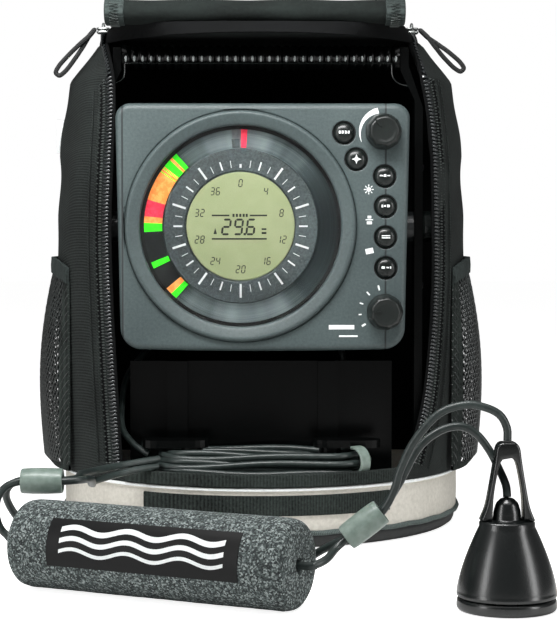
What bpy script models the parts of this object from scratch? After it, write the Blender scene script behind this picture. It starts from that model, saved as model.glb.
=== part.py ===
"""Portable ice-fishing flasher: display head on a carrying shuttle, in a soft case with its transducer.

Lengths are written in millimetres and become metres in the helpers. +Z is up, the display faces -Y and the
origin is the middle of the case's underside.
"""
import math

import bmesh
import bpy
from mathutils import Matrix, Vector

MM = 0.001
GAP = 0.3

# Soft case: plan outline is a half ellipse in front, straight sides and round rear corners
PLAN_POINTS = 40
ELLIPSE_CENTRE_Y = 35.0
REAR_CORNER = 32.0
WALL = 4.0
BOOT_TOP = 8.0
BAND_TOP = 35.0
OPENING_FOOT = 43.3
OPENING_TOP = 300.5
CASE_TOP = 303.0
CASE_LEVELS = (          # height, half width, front, back
    (BAND_TOP + GAP, 126.0, -100.0, 100.0),
    (100.0, 128.0, -100.0, 100.0),
    (165.0, 129.5, -100.0, 100.0),
    (230.0, 128.0, -100.0, 100.0),
    (276.0, 121.0, -97.0, 97.0),
    (299.0, 104.0, -83.0, 88.0),
    (CASE_TOP, 98.0, -77.0, 82.0),
)
ZIP_LEFT = ((-97, 297), (-93, 285), (-90.5, 272), (-90, 250), (-91, 225), (-92.5, 180), (-90, 112), (-86, 46))
ZIP_RIGHT = ((94, 297), (96, 289), (99, 276), (103, 255), (105.5, 225), (106.5, 160), (104.5, 116),
             (100, 79), (91, 46))
ZIP_RADIUS = 2.2
ROLL_ENDS = (-89.0, 82.0)
ROLL_CENTRE = (-62.0, 311.3)
ROLL_HALF = (11.0, 7.4)
SLIDER_X = (-96.0, 92.0)
SLIDER_Y = -20.0
SLIDER_Z = 305.6
SHOULDER_ANGLE = math.radians(47.0)
TAB_LENGTH = 27.0
TAB_WIDTH = 11.0

# Mesh pockets on the sides
POCKET_FOOT = 36.0
POCKET_TOP = 157.0
HEM_TOP = 167.0
POCKET_Y = (-24.0, 76.0)
POCKET_BULGE = 9.4
MESH_WALL = 1.3

# Shuttle
TRAY_TOP = 12.6
ARM_X = (93.0, 98.0)
ARM_Y = (-34.0, -16.0)
GRIP_RADIUS = 8.0
GRIP_CENTRE = (-25.0, 288.0)
GRIP_HALF_LENGTH = 84.0
PANEL_Y = (-27.0, -24.0)
PANEL_TOP = 104.0
RIB_X = (-51.0, 41.0)
BATTERY_SIZE = (151.0, 94.0, 65.0)
CLEAT_X = 41.0
CLEAT_Y = -60.0
CLEAT_PLATE_FOOT = 55.0
CLEAT_PLATE_THICK = 4.5

# Display head
HEAD = (1.0, -65.0, 186.0)
HEAD_HALF = (85.4, 72.3)
HEAD_POWER = 9.0
PIVOT = (1.0, -25.0, 186.0)
HOUSING_BACK = 8.0
FACE_FRONT = -67.0
FACE_BACK = -63.0
DISC_X = -13.0
RING_OUTER = 68.0
WINDOW_RADIUS = 59.2
DIAL_RADIUS = 45.7
LCD_RADIUS = 32.0
KNOB_RADIUS = 10.5
KNOB_FRONT = -80.0
BUTTON_RADIUS = 6.0
KNOBS = {"gain_knob": (71.0, 55.6), "range_knob": (72.0, -50.5)}
BUTTONS = {
    "button_power": (47.8, 54.8),
    "button_zoom": (55.0, 39.3),
    "button_night": (71.8, 29.4),
    "button_palette": (72.3, 11.6),
    "button_reject": (72.4, -6.5),
    "button_mode": (72.6, -24.6),
}

# Cable set
CORD = 4.0
WINDING_Z = (40.0, 54.0)
WINDING_RADII = (12.0, 24.0)
FLOAT_CENTRE = (-51.0, -245.0, 22.6)
FLOAT_HALF_LENGTH = 78.5
FLOAT_RADIUS = 22.5
FLOAT_TURN = math.radians(-27.2)
KEEPER_LENGTH = 22.0
KEEPER_RADIUS = 7.4
KEEPER_LEFT = (-114.0, -200.0, 53.0)
KEEPER_RIGHT = (50.0, -266.1, 40.0)
KEEPER_RIGHT_AXIS = (0.79, 0.0, 0.61)
SONAR = (119.0, -273.0)
CABLE_ROUTE = (
    (-59.8, -78.8, 50), (-70, -85, 49), (-82, -93, 47.8), (-92, -110, 47.6), (-96.5, -138, 49.5),
    (-97.5, -165, 52), (-96.5, -184, 53), (-98, -193, 53), (-104, -197.6, 53), (-114, -197.8, 53),
    (-125, -197.8, 53), (-132, -195.5, 49.5), (-134, -189, 42), (-129, -179.5, 30), (-117, -172, 17),
    (-100, -172, 7.5), (-70, -187, 3.2), (-32, -208, 3.0), (0, -229, 6.5), (17, -244, 16), (29, -257, 25.5),
    (39, -263.2, 32), (50, -263.8, 40), (58.8, -263.8, 46.8), (67.5, -263, 60), (76.4, -262.5, 76.4),
    (86.5, -262, 85), (97, -262, 87.7), (105, -262, 84), (111.5, -262.5, 76), (116, -265.5, 67),
    (118.6, -271, 60), (119, -273, 54.6),
)
HANGER_ROUTE = (
    (-60.6, -79.6, 45.7), (-71, -87, 45.0), (-84, -97, 43), (-95, -120, 42), (-93, -140, 43.5),
    (-91, -165, 48), (-90.5, -185, 52), (-94, -198, 53.2), (-103.5, -202.2, 53), (-114, -202.3, 53),
    (-125, -202.3, 53), (-133, -203.5, 50), (-137, -205, 43), (-137, -204, 33), (-132.5, -203.2, 25.5),
    (-120.8, -209.1, 22.6), (-51, -245, 22.6), (18.8, -280.9, 22.6), (25.2, -284, 23.3), (31.5, -279, 25.4),
    (36, -271, 28.9), (41.3, -268.4, 33.3), (50, -268.4, 40), (58.8, -268.5, 46.8), (64.5, -268.8, 57),
    (67.5, -269.2, 67), (74.4, -270, 81.5), (86, -271, 94.6), (98, -272, 99), (107, -272.6, 98.2),
    (115, -273, 94.5), (118.7, -273, 88), (119, -273, 81.9),
)
HEAD_LEAD_ROUTE = (
    (-30, 34.8, 168), (-30, 40, 168), (-32, 50, 164), (-40, 58, 150), (-58, 55, 125), (-76, 35, 104),
    (-84, 5, 92), (-85.5, -20, 78), (-84, -38, 64), (-76, -50, 55), (-66.3, -57, 50),
)
POWER_LEAD_ROUTE = (
    (30, 34.8, 168), (30, 40, 168), (31.5, 49, 164), (37, 57, 150), (46, 62, 125), (53, 62, 105),
    (55, 60, 90), (55, 60, 78.3),
)

COLOURS = {
    "case_fabric": ((0.023, 0.026, 0.025), 0.92, 0.0),
    "band_fabric": ((0.73, 0.70, 0.61), 0.9, 0.0),
    "boot_rubber": ((0.012, 0.013, 0.013), 0.75, 0.0),
    "loop_tape": ((0.017, 0.020, 0.014), 0.98, 0.0),
    "zip_coil": ((0.02, 0.02, 0.02), 0.5, 0.0),
    "zip_metal": ((0.35, 0.35, 0.34), 0.35, 1.0),
    "webbing": ((0.069, 0.08, 0.08), 0.85, 0.0),
    "shuttle_plastic": ((0.012, 0.012, 0.013), 0.35, 0.0),
    "battery_case": ((0.03, 0.03, 0.035), 0.5, 0.0),
    "head_plastic": ((0.16, 0.19, 0.19), 0.55, 0.0),
    "housing_plastic": ((0.02, 0.022, 0.024), 0.5, 0.0),
    "clear_window": ((0.8, 0.85, 0.85), 0.05, 0.0),
    "dial_print": ((0.045, 0.047, 0.043), 0.5, 0.0),
    "lcd_glass": ((0.54, 0.58, 0.3), 0.25, 0.0),
    "board_green": ((0.02, 0.12, 0.04), 0.5, 0.0),
    "motor_steel": ((0.5, 0.5, 0.5), 0.35, 1.0),
    "knob_rubber": ((0.013, 0.017, 0.016), 0.55, 0.0),
    "gasket_rubber": ((0.01, 0.01, 0.01), 0.8, 0.0),
    "cord_jacket": ((0.06, 0.085, 0.085), 0.5, 0.0),
    "keeper_silicone": ((0.34, 0.43, 0.39), 0.4, 0.0),
    "float_foam": ((0.16, 0.2, 0.19), 0.9, 0.0),
    "sonar_plastic": ((0.016, 0.02, 0.023), 0.3, 0.0),
}


def clear_scene():
    for old in list(bpy.data.objects):
        bpy.data.objects.remove(old, do_unlink=True)


def make_collection(name):
    collection = bpy.data.collections.new(name)
    bpy.context.scene.collection.children.link(collection)
    return collection


def get_material(key):
    material = bpy.data.materials.get(key)
    if material is None:
        colour, roughness, metallic = COLOURS[key]
        material = bpy.data.materials.new(key)
        material.use_nodes = True
        shader = material.node_tree.nodes["Principled BSDF"]
        shader.inputs["Base Color"].default_value = (*colour, 1.0)
        shader.inputs["Roughness"].default_value = roughness
        shader.inputs["Metallic"].default_value = metallic
    return material


def add_object(name, data, key, origin=(0, 0, 0), parent=None):
    """Link an object whose data is already local to origin; key is None for a cutter."""
    obj = bpy.data.objects.new(name, data)
    obj.location = Vector(origin) * MM
    if key is None:
        CUTTERS.objects.link(obj)
        obj.hide_render = True
        obj.display_type = "WIRE"
    else:
        PARTS.objects.link(obj)
        data.materials.append(get_material(key))
    if parent is not None:
        obj.parent = parent
        obj.location -= parent.location
    return obj


def from_bmesh(name, bm, key, origin=(0, 0, 0), parent=None):
    """Turn a bmesh in world millimetres into an object that turns about origin."""
    bmesh.ops.recalc_face_normals(bm, faces=bm.faces)
    bmesh.ops.translate(bm, verts=bm.verts, vec=-Vector(origin))
    bmesh.ops.scale(bm, verts=bm.verts, vec=(MM, MM, MM))
    mesh = bpy.data.meshes.new(name)
    bm.to_mesh(mesh)
    bm.free()
    mesh.shade_smooth()
    mesh.set_sharp_from_angle(angle=math.radians(35))
    return add_object(name, mesh, key, origin, parent)


def add_box(bm, low, high, matrix=None):
    low = Vector(low)
    high = Vector(high)
    place = Matrix.Translation((low + high) / 2) @ Matrix.Diagonal((*(high - low), 1.0))
    if matrix is not None:
        place = matrix @ place
    bmesh.ops.create_cube(bm, size=1.0, matrix=place)


def add_rod(bm, start, end, radius, segments=24, end_radius=None):
    start = Vector(start)
    axis = Vector(end) - start
    turn = axis.to_track_quat("Z", "Y").to_matrix().to_4x4()
    bmesh.ops.create_cone(
        bm, cap_ends=True, segments=segments, radius1=radius,
        radius2=radius if end_radius is None else end_radius, depth=axis.length,
        matrix=Matrix.Translation(start + axis / 2) @ turn,
    )


def box_object(name, low, high, key, **place):
    bm = bmesh.new()
    add_box(bm, low, high)
    return from_bmesh(name, bm, key, **place)


def rod_object(name, start, end, radius, key, segments=24, **place):
    bm = bmesh.new()
    add_rod(bm, start, end, radius, segments)
    return from_bmesh(name, bm, key, **place)


def loft_object(name, rings, key, **place):
    """Skin a stack of rings that have the same number of points, and cap both ends."""
    bm = bmesh.new()
    rows = [[bm.verts.new(point) for point in ring] for ring in rings]
    for lower, upper in zip(rows, rows[1:]):
        for i in range(len(lower)):
            j = (i + 1) % len(lower)
            bm.faces.new((lower[i], lower[j], upper[j], upper[i]))
    bm.faces.new(rows[0])
    bm.faces.new(rows[-1])
    return from_bmesh(name, bm, key, **place)


def turned_object(name, profile, key, origin, axis=(0, 0, 1), steps=32, parent=None):
    """Turn a profile of (radius, height) about its axis; it runs down the outer side."""
    mesh = bpy.data.meshes.new(name)
    points = [(radius * MM, 0.0, height * MM) for radius, height in profile]
    closed = profile[0][0] > 0
    edges = [(i, i + 1) for i in range(len(points) - 1)]
    if closed:
        edges.append((len(points) - 1, 0))
    mesh.from_pydata(points, edges, [])
    obj = add_object(name, mesh, key, origin, parent)
    obj.rotation_mode = "QUATERNION"
    obj.rotation_quaternion = Vector((0, 0, 1)).rotation_difference(Vector(axis))
    screw = obj.modifiers.new("turn", "SCREW")
    screw.steps = steps
    screw.render_steps = steps
    screw.use_merge_vertices = True
    screw.merge_threshold = 0.00001
    screw.use_smooth_shade = True
    return obj


def outline_curve(name, outlines, low, high, key, plane="XY", **place):
    """A flat outline as a filled 2D curve, extruded between two heights (XY) or two depths (XZ)."""
    curve = bpy.data.curves.new(name, "CURVE")
    curve.dimensions = "2D"
    curve.fill_mode = "BOTH"
    curve.extrude = (high - low) / 2 * MM
    for outline in outlines:
        spline = curve.splines.new("POLY")
        spline.points.add(len(outline) - 1)
        spline.use_cyclic_u = True
        for point, (u, v) in zip(spline.points, outline):
            point.co = (u * MM, v * MM, 0.0, 1.0)
    middle = (low + high) / 2
    if plane == "XY":
        return add_object(name, curve, key, (0, 0, middle), **place)
    obj = add_object(name, curve, key, (0, middle, 0), **place)
    obj.rotation_euler = (math.pi / 2, 0, 0)
    return obj


def as_mesh(curve_object):
    """Swap a curve object for a welded mesh object that can take a Boolean."""
    depsgraph = bpy.context.evaluated_depsgraph_get()
    bpy.context.view_layer.update()
    mesh = bpy.data.meshes.new_from_object(curve_object.evaluated_get(depsgraph))
    bm = bmesh.new()
    bm.from_mesh(mesh)
    bmesh.ops.remove_doubles(bm, verts=bm.verts, dist=0.00001)
    bmesh.ops.recalc_face_normals(bm, faces=bm.faces)
    bm.to_mesh(mesh)
    bm.free()
    name = curve_object.name
    matrix = curve_object.matrix_world.copy()
    collection = curve_object.users_collection[0]
    bpy.data.objects.remove(curve_object, do_unlink=True)
    obj = bpy.data.objects.new(name, mesh)
    obj.matrix_world = matrix
    collection.objects.link(obj)
    if collection == CUTTERS:
        obj.hide_render = True
        obj.display_type = "WIRE"
    return obj


def boolean(obj, other, operation="DIFFERENCE"):
    modifier = obj.modifiers.new(other.name, "BOOLEAN")
    modifier.operation = operation
    modifier.object = other
    modifier.solver = "EXACT"
    return obj


def smooth_route(route, spacing):
    """Points every spacing along a smooth curve (Catmull-Rom) through the route's own points."""
    points = [Vector(point) for point in route]
    ends = [2 * points[0] - points[1], *points, 2 * points[-1] - points[-2]]
    fine = []
    for a, b, c, d in zip(ends, ends[1:], ends[2:], ends[3:]):
        for step in range(10):
            t = step / 10
            fine.append(0.5 * (2 * b + (c - a) * t + (2 * a - 5 * b + 4 * c - d) * t ** 2
                               + (3 * b - a - 3 * c + d) * t ** 3))
    fine.append(points[-1])
    lengths = [0.0]
    for a, b in zip(fine, fine[1:]):
        lengths.append(lengths[-1] + (b - a).length)
    count = max(2, round(lengths[-1] / spacing))
    result = []
    k = 0
    for i in range(count + 1):
        want = lengths[-1] * i / count
        while k < len(fine) - 2 and lengths[k + 1] < want:
            k += 1
        part = (want - lengths[k]) / max(1e-9, lengths[k + 1] - lengths[k])
        result.append(fine[k].lerp(fine[k + 1], part))
    return result


def cord_object(name, route, key, diameter=CORD, spacing=2.1 * CORD):
    curve = bpy.data.curves.new(name, "CURVE")
    curve.dimensions = "3D"
    curve.bevel_depth = diameter / 2 * MM
    curve.bevel_resolution = 2
    curve.use_fill_caps = True
    points = smooth_route(route, spacing)
    spline = curve.splines.new("POLY")
    spline.points.add(len(points) - 1)
    for target, point in zip(spline.points, points):
        target.co = (*(point * MM), 1.0)
    return add_object(name, curve, key)


def plan(half_width, front, back, inset=0.0):
    """Case outline seen from above: half ellipse in front, then straight sides and round rear corners."""
    half_width -= inset
    front += inset
    back -= inset
    corner = REAR_CORNER - inset
    arc_points = PLAN_POINTS - 12
    outline = []
    for i in range(arc_points):
        angle = math.pi + math.pi * i / (arc_points - 1)
        depth = (ELLIPSE_CENTRE_Y - front) * math.sin(angle)
        outline.append((half_width * math.cos(angle), ELLIPSE_CENTRE_Y + depth))
    for side in (1, -1):
        for i in range(6):
            angle = math.pi / 2 * i / 5
            along = (math.cos(angle), math.sin(angle)) if side > 0 else (math.sin(angle), math.cos(angle))
            across = half_width - corner + corner * along[0]
            outline.append((side * across, back - corner + corner * along[1]))
    return outline


def case_level(height):
    """Half width, front and back of the case at a height, between its named levels."""
    for lower, upper in zip(CASE_LEVELS, CASE_LEVELS[1:]):
        if height <= upper[0]:
            part = max(0.0, (height - lower[0]) / (upper[0] - lower[0]))
            return [a + (b - a) * part for a, b in zip(lower[1:], upper[1:])]
    return list(CASE_LEVELS[-1][1:])


def case_front(x, height, inset=0.0):
    """Depth of the case's front wall at a place across and a height."""
    half_width, front, _ = case_level(height)
    share = min(0.999, abs(x) / (half_width - inset))
    return ELLIPSE_CENTRE_Y - (ELLIPSE_CENTRE_Y - front - inset) * math.sqrt(1 - share ** 2)


def make_case():
    outer = [[(x, y, z) for x, y in plan(w, f, b)] for z, w, f, b in CASE_LEVELS]
    body = loft_object("case_body", outer, "case_fabric")
    levels = [(z - (WALL if z == CASE_TOP else 0), w, f, b) for z, w, f, b in CASE_LEVELS]
    levels[0] = (BAND_TOP - 5, *levels[0][1:])
    inner = [[(x, y, z) for x, y in plan(w, f, b, WALL)] for z, w, f, b in levels]
    inner.pop(-2)
    boolean(body, loft_object("case_hollow", inner, None))
    edge = ZIP_RADIUS + 1.2
    left = [(x - edge, z) for x, z in ZIP_LEFT]
    right = [(x + edge, z) for x, z in ZIP_RIGHT]
    for side in (left, right):
        side[0] = (side[0][0], OPENING_TOP)
        side[-1] = (side[-1][0], OPENING_FOOT)
    opening = outline_curve("case_opening", [left[::-1] + right], -140.0, 4.0, None, plane="XZ")
    boolean(body, as_mesh(opening))
    outline_curve("base_band", [plan(125.0, -99.5, 99.5), plan(125.0, -99.5, 99.5, 5.0)[::-1]],
                  BOOT_TOP + GAP, BAND_TOP, "band_fabric")
    outline_curve("base_boot", [plan(124.0, -100.0, 100.0)], 0.0, BOOT_TOP, "boot_rubber")
    make_tape()
    make_roll()
    for name, path in (("zipper_left", ZIP_LEFT), ("zipper_right", ZIP_RIGHT)):
        route = [(x, case_front(x, z, WALL / 2), z) for x, z in path]
        cord_object(name, route, "zip_coil", 2 * ZIP_RADIUS, 14.0)


def make_tape():
    """Loop tape that covers the top of the low front wall."""
    steps = 14
    inner = []
    outer = []
    for i in range(steps + 1):
        x = -79.0 + (74.0 + 79.0) * i / steps
        depth = case_front(x, 38.0)
        inner.append((x, depth - GAP))
        outer.append((x, depth - GAP - 1.2))
    outline_curve("loop_tape", [outer + inner[::-1]], 36.0, 43.0, "loop_tape")


def make_roll():
    rings = []
    left, right = ROLL_ENDS
    for x, size in ((left, 0.93), (left + 3, 1.0), (right - 3, 1.0), (right, 0.93)):
        ring = []
        for i in range(20):
            angle = 2 * math.pi * i / 20
            ring.append((x, ROLL_CENTRE[0] + size * ROLL_HALF[0] * math.cos(angle),
                         ROLL_CENTRE[1] + size * ROLL_HALF[1] * math.sin(angle)))
        rings.append(ring)
    loft_object("flap_roll", rings, "case_fabric")


def make_zip_pulls():
    """Slider on each shoulder, and a loop tab that lies down the shoulder from it."""
    for side, x, tail in ((-1, SLIDER_X[0], "left"), (1, SLIDER_X[1], "right")):
        bm = bmesh.new()
        place = Matrix.Translation((x, SLIDER_Y, SLIDER_Z))
        add_box(bm, (-4, -6, -2), (4, 6, 2), place)
        from_bmesh("slider_" + tail, bm, "zip_metal", origin=(x, SLIDER_Y, SLIDER_Z))
        hinge = (x + side * 7.0, SLIDER_Y + 2.0, SLIDER_Z - 1.0)
        half = TAB_WIDTH / 2
        outer = [(0.0, -half), (TAB_LENGTH - 3, -half), (TAB_LENGTH, -half + 3), (TAB_LENGTH, half - 3),
                 (TAB_LENGTH - 3, half), (0.0, half), (-1.5, half - 2), (-1.5, 2 - half)]
        near, far = TAB_LENGTH - 12, TAB_LENGTH - 4
        hole = [(near, -2.7), (near, 2.7), (far, 2.7), (far, -2.7)]
        tab = outline_curve("pull_tab_" + tail, [outer, hole], -1.0, 1.0, "webbing")
        tab.location = Vector(hinge) * MM
        tab.rotation_euler = (0, SHOULDER_ANGLE, 0 if side > 0 else math.pi)


def wall_at(y):
    """Half width of the case at its widest level, at depth y."""
    half_width, front, _ = case_level(165.0)
    if y >= ELLIPSE_CENTRE_Y:
        return half_width
    return half_width * math.sqrt(1 - ((ELLIPSE_CENTRE_Y - y) / (ELLIPSE_CENTRE_Y - front)) ** 2)


def pocket_curve(side, offset, shrink=0.0, points=12):
    """Bulging line of a side pocket seen from above, offset outwards from the case's widest side."""
    line = []
    for i in range(points + 1):
        share = i / points
        y = POCKET_Y[0] + shrink + (POCKET_Y[1] - POCKET_Y[0] - 2 * shrink) * share
        bulge = POCKET_BULGE * math.sin(math.pi * share) ** 0.7
        line.append((side * (wall_at(y) + offset + bulge), y))
    return line


def wall_line(side, offset):
    """Line of the case's side under a pocket, at the same depths as the pocket's own line."""
    return [(side * (wall_at(y) + offset), y) for (_, y) in pocket_curve(side, 0.0)]


def make_pockets():
    for side, tail in ((-1, "left"), (1, "right")):
        behind = wall_line(side, 0.4)[::-1]
        hollow = pocket_curve(side, 0.2, MESH_WALL * 2) + wall_line(side, -6.0)[::-1]
        skin = pocket_curve(side, 1.5) + behind
        pocket = as_mesh(outline_curve("mesh_pocket_" + tail, [skin], POCKET_FOOT, POCKET_TOP, "webbing"))
        room = as_mesh(outline_curve("pocket_room", [hollow], POCKET_FOOT + 1.6, POCKET_TOP + 9, None))
        boolean(pocket, room)
        band = pocket_curve(side, 1.9) + behind
        hem = as_mesh(outline_curve("pocket_hem_" + tail, [band], POCKET_TOP + GAP, HEM_TOP, "webbing"))
        mouth = as_mesh(outline_curve("pocket_mouth", [hollow], POCKET_TOP - 5, HEM_TOP + 5, None))
        boolean(hem, mouth)


def make_shuttle():
    outline_curve("shuttle_tray", [plan(118.0, -93.0, 93.0)], BOOT_TOP + 2 * GAP, TRAY_TOP, "shuttle_plastic")
    foot = TRAY_TOP + GAP
    front, back = PANEL_Y
    panel = [(-80, back), (80, back), (80, front)]
    for x in (RIB_X[1], RIB_X[0]):
        panel += [(x + 6.2, front), (x + 6.2, front - 4), (x - 6.2, front - 4), (x - 6.2, front)]
    panel.append((-80, front))
    outline_curve("shuttle_panel", [panel[::-1]], foot, PANEL_TOP, "shuttle_plastic")
    for side, tail in ((-1, "left"), (1, "right")):
        make_arm(side, tail, foot)
        make_cleat(side, tail, foot)
    bm = bmesh.new()
    add_rod(bm, (-GRIP_HALF_LENGTH, *GRIP_CENTRE), (GRIP_HALF_LENGTH, *GRIP_CENTRE), GRIP_RADIUS, 20)
    from_bmesh("grip_bar", bm, "shuttle_plastic")
    width, depth, height = BATTERY_SIZE
    near = back + 2
    box_object("battery", (-width / 2, near, foot), (width / 2, near + depth, foot + height), "battery_case")


def make_arm(side, tail, foot):
    """Upright of the handle: it leans in over the head to hold the grip, with a hole for the tilt stud."""
    near = GRIP_HALF_LENGTH + GAP
    inner, outer = ARM_X
    top = GRIP_CENTRE[1] + 6.0
    half = [(outer, foot), (outer, 258.0), (near + 5, 283.0), (near + 5, top), (near, top), (near, 280.0),
            (inner, 262.0), (inner, foot)]
    outline = [(side * x, z) for x, z in half]
    arm = as_mesh(outline_curve("handle_arm_" + tail, [outline], *ARM_Y, "shuttle_plastic", plane="XZ"))
    reach = (side * (inner - 3), side * (outer + 3))
    hole = rod_object("stud_hole_" + tail, (reach[0], *PIVOT[1:]), (reach[1], *PIVOT[1:]), 4.4, None)
    boolean(arm, hole)


def make_cleat(side, tail, foot):
    """Round post with a flat plate on top that points outwards and keeps the winding down."""
    x = side * CLEAT_X
    post = rod_object("cleat_" + tail, (x, CLEAT_Y, foot), (x, CLEAT_Y, CLEAT_PLATE_FOOT + 1), 6.5,
                      "shuttle_plastic", 20)
    ends = ((x - side * 2, 8.0, -side), (x + side * 21, 9.0, side))
    outline = []
    for centre, radius, way in ends:
        for i in range(9):
            angle = -math.pi / 2 + math.pi * i / 8
            depth = way * side * radius * math.sin(angle)
            outline.append((centre + way * radius * math.cos(angle), CLEAT_Y + depth))
    top = CLEAT_PLATE_FOOT + CLEAT_PLATE_THICK
    plate = as_mesh(outline_curve("cleat_plate_" + tail, [outline], CLEAT_PLATE_FOOT, top, None))
    boolean(post, plate, "UNION")


def head_ring(depth, shrink_x=0.0, shrink_z=0.0, points=40):
    """Outline of the head at a depth: a rounded rectangle with gently bowed sides, wider at the top."""
    ring = []
    for i in range(points):
        angle = 2 * math.pi * (i + 0.5) / points
        c = math.cos(angle)
        s = math.sin(angle)
        size = (abs(c) ** HEAD_POWER + abs(s) ** HEAD_POWER) ** (-1 / HEAD_POWER)
        z = (HEAD_HALF[1] - shrink_z) * s * size
        taper = 1 + 0.018 * z / HEAD_HALF[1]
        ring.append((HEAD[0] + (HEAD_HALF[0] - shrink_x) * c * size * taper, depth, HEAD[2] + z))
    return ring


def make_head():
    pivot = bpy.data.objects.new("head_pivot", None)
    pivot.location = Vector(PIVOT) * MM
    PARTS.objects.link(pivot)
    make_face(pivot)
    make_display(pivot)
    make_controls(pivot)
    make_housing(pivot)


def at_head(x, depth, z):
    return (HEAD[0] + x, depth, HEAD[2] + z)


def make_face(pivot):
    rings = [head_ring(FACE_BACK), head_ring(FACE_FRONT + 1.6), head_ring(FACE_FRONT + 0.5, 0.7, 0.7),
             head_ring(FACE_FRONT, 2.0, 2.0)]
    face = loft_object("face_panel", rings, "head_plastic", parent=pivot)
    bm = bmesh.new()
    window = 62.0
    add_rod(bm, at_head(DISC_X, -75, 0), at_head(DISC_X, -55, 0), window + GAP, 36)
    for x, z in KNOBS.values():
        add_rod(bm, at_head(x, -75, z), at_head(x, -55, z), 4.2, 16)
    for x, z in BUTTONS.values():
        add_rod(bm, at_head(x, -75, z), at_head(x, -55, z), BUTTON_RADIUS + 0.4, 20)
    boolean(face, from_bmesh("face_holes", bm, None))
    profile = [(RING_OUTER - 1, 70.5), (RING_OUTER, 69.5), (RING_OUTER, 67.3), (window, 67.3), (window, 63.2),
               (56.5, 63.2), (56.5, 64.6), (WINDOW_RADIUS, 64.6), (WINDOW_RADIUS + 0.4, 69.6),
               (WINDOW_RADIUS + 1.2, 70.5)]
    turned_object("window_ring", profile, "housing_plastic", at_head(DISC_X, 0, 0), (0, -1, 0), 36, pivot)


def make_display(pivot):
    centre = at_head(DISC_X, 0, 0)
    lens = WINDOW_RADIUS - 0.4
    turned_object("window_lens", [(0, 66.6), (lens, 66.6), (lens, 64.9), (0, 64.9)], "clear_window", centre,
                  (0, -1, 0), 28, pivot)
    turned_object("dial_plate", [(DIAL_RADIUS, 64.5), (DIAL_RADIUS, 63.3), (LCD_RADIUS + 0.3, 63.3),
                                 (LCD_RADIUS + 0.3, 64.5)], "dial_print", centre, (0, -1, 0), 28, pivot)
    turned_object("lcd_module", [(0, 64.5), (LCD_RADIUS, 64.5), (LCD_RADIUS, 60.8), (0, 60.8)], "lcd_glass",
                  centre, (0, -1, 0), 32, pivot)
    disc = [(0, 60.2), (57.6, 60.2), (57.6, 58.6), (7, 58.6), (5, 55.3), (0, 55.3)]
    turned_object("flasher_disc", disc, "housing_plastic", centre, (0, -1, 0), 28, pivot)
    motor = [(0, 55.0), (4, 55.0), (4, 53.0), (14, 53.0), (14, 35.0), (0, 35.0)]
    turned_object("disc_motor", motor, "motor_steel", centre, (0, -1, 0), 24, pivot)
    box_object("main_board", at_head(-72, -34.7, -52), at_head(64, -33.1, 52), "board_green", parent=pivot)


def make_controls(pivot):
    low = at_head(46, -58.4, -56)
    high = at_head(74.5, -56.8, 56)
    board = box_object("key_board", low, high, "board_green", parent=pivot)
    bm = bmesh.new()
    for x, z in KNOBS.values():
        add_rod(bm, at_head(x, -62, z), at_head(x, -54, z), 3.8, 16)
    boolean(board, from_bmesh("board_holes", bm, None))
    knob = [(0, 79.0), (4.5, 78.6), (7.5, 79.4), (9.4, -KNOB_FRONT), (10.2, 79.2), (KNOB_RADIUS, 77.0),
            (KNOB_RADIUS + 0.3, 68.0), (9.5, 67.5), (3.0, 67.5), (3.0, 56.9), (0, 56.9)]
    for name, (x, z) in KNOBS.items():
        turned_object(name, knob, "knob_rubber", at_head(x, 0, z), (0, -1, 0), 20, pivot)
        pot = [(0, 56.5), (5.2, 56.5), (5.2, 47.0), (0, 47.0)]
        place = at_head(x, 0, z)
        turned_object(name.replace("knob", "pot"), pot, "motor_steel", place, (0, -1, 0), 16, pivot)
    r = BUTTON_RADIUS
    button = [(0, 69.6), (r - 1.6, 69.4), (r - 0.4, 68.8), (r, 67.8), (r, 62.6), (r + 1.4, 62.6),
              (r + 1.4, 61.8), (2.2, 61.8), (2.2, 60.0), (0, 60.0)]
    for name, (x, z) in BUTTONS.items():
        turned_object(name, button, "knob_rubber", at_head(x, 0, z), (0, -1, 0), 14, pivot)


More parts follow.
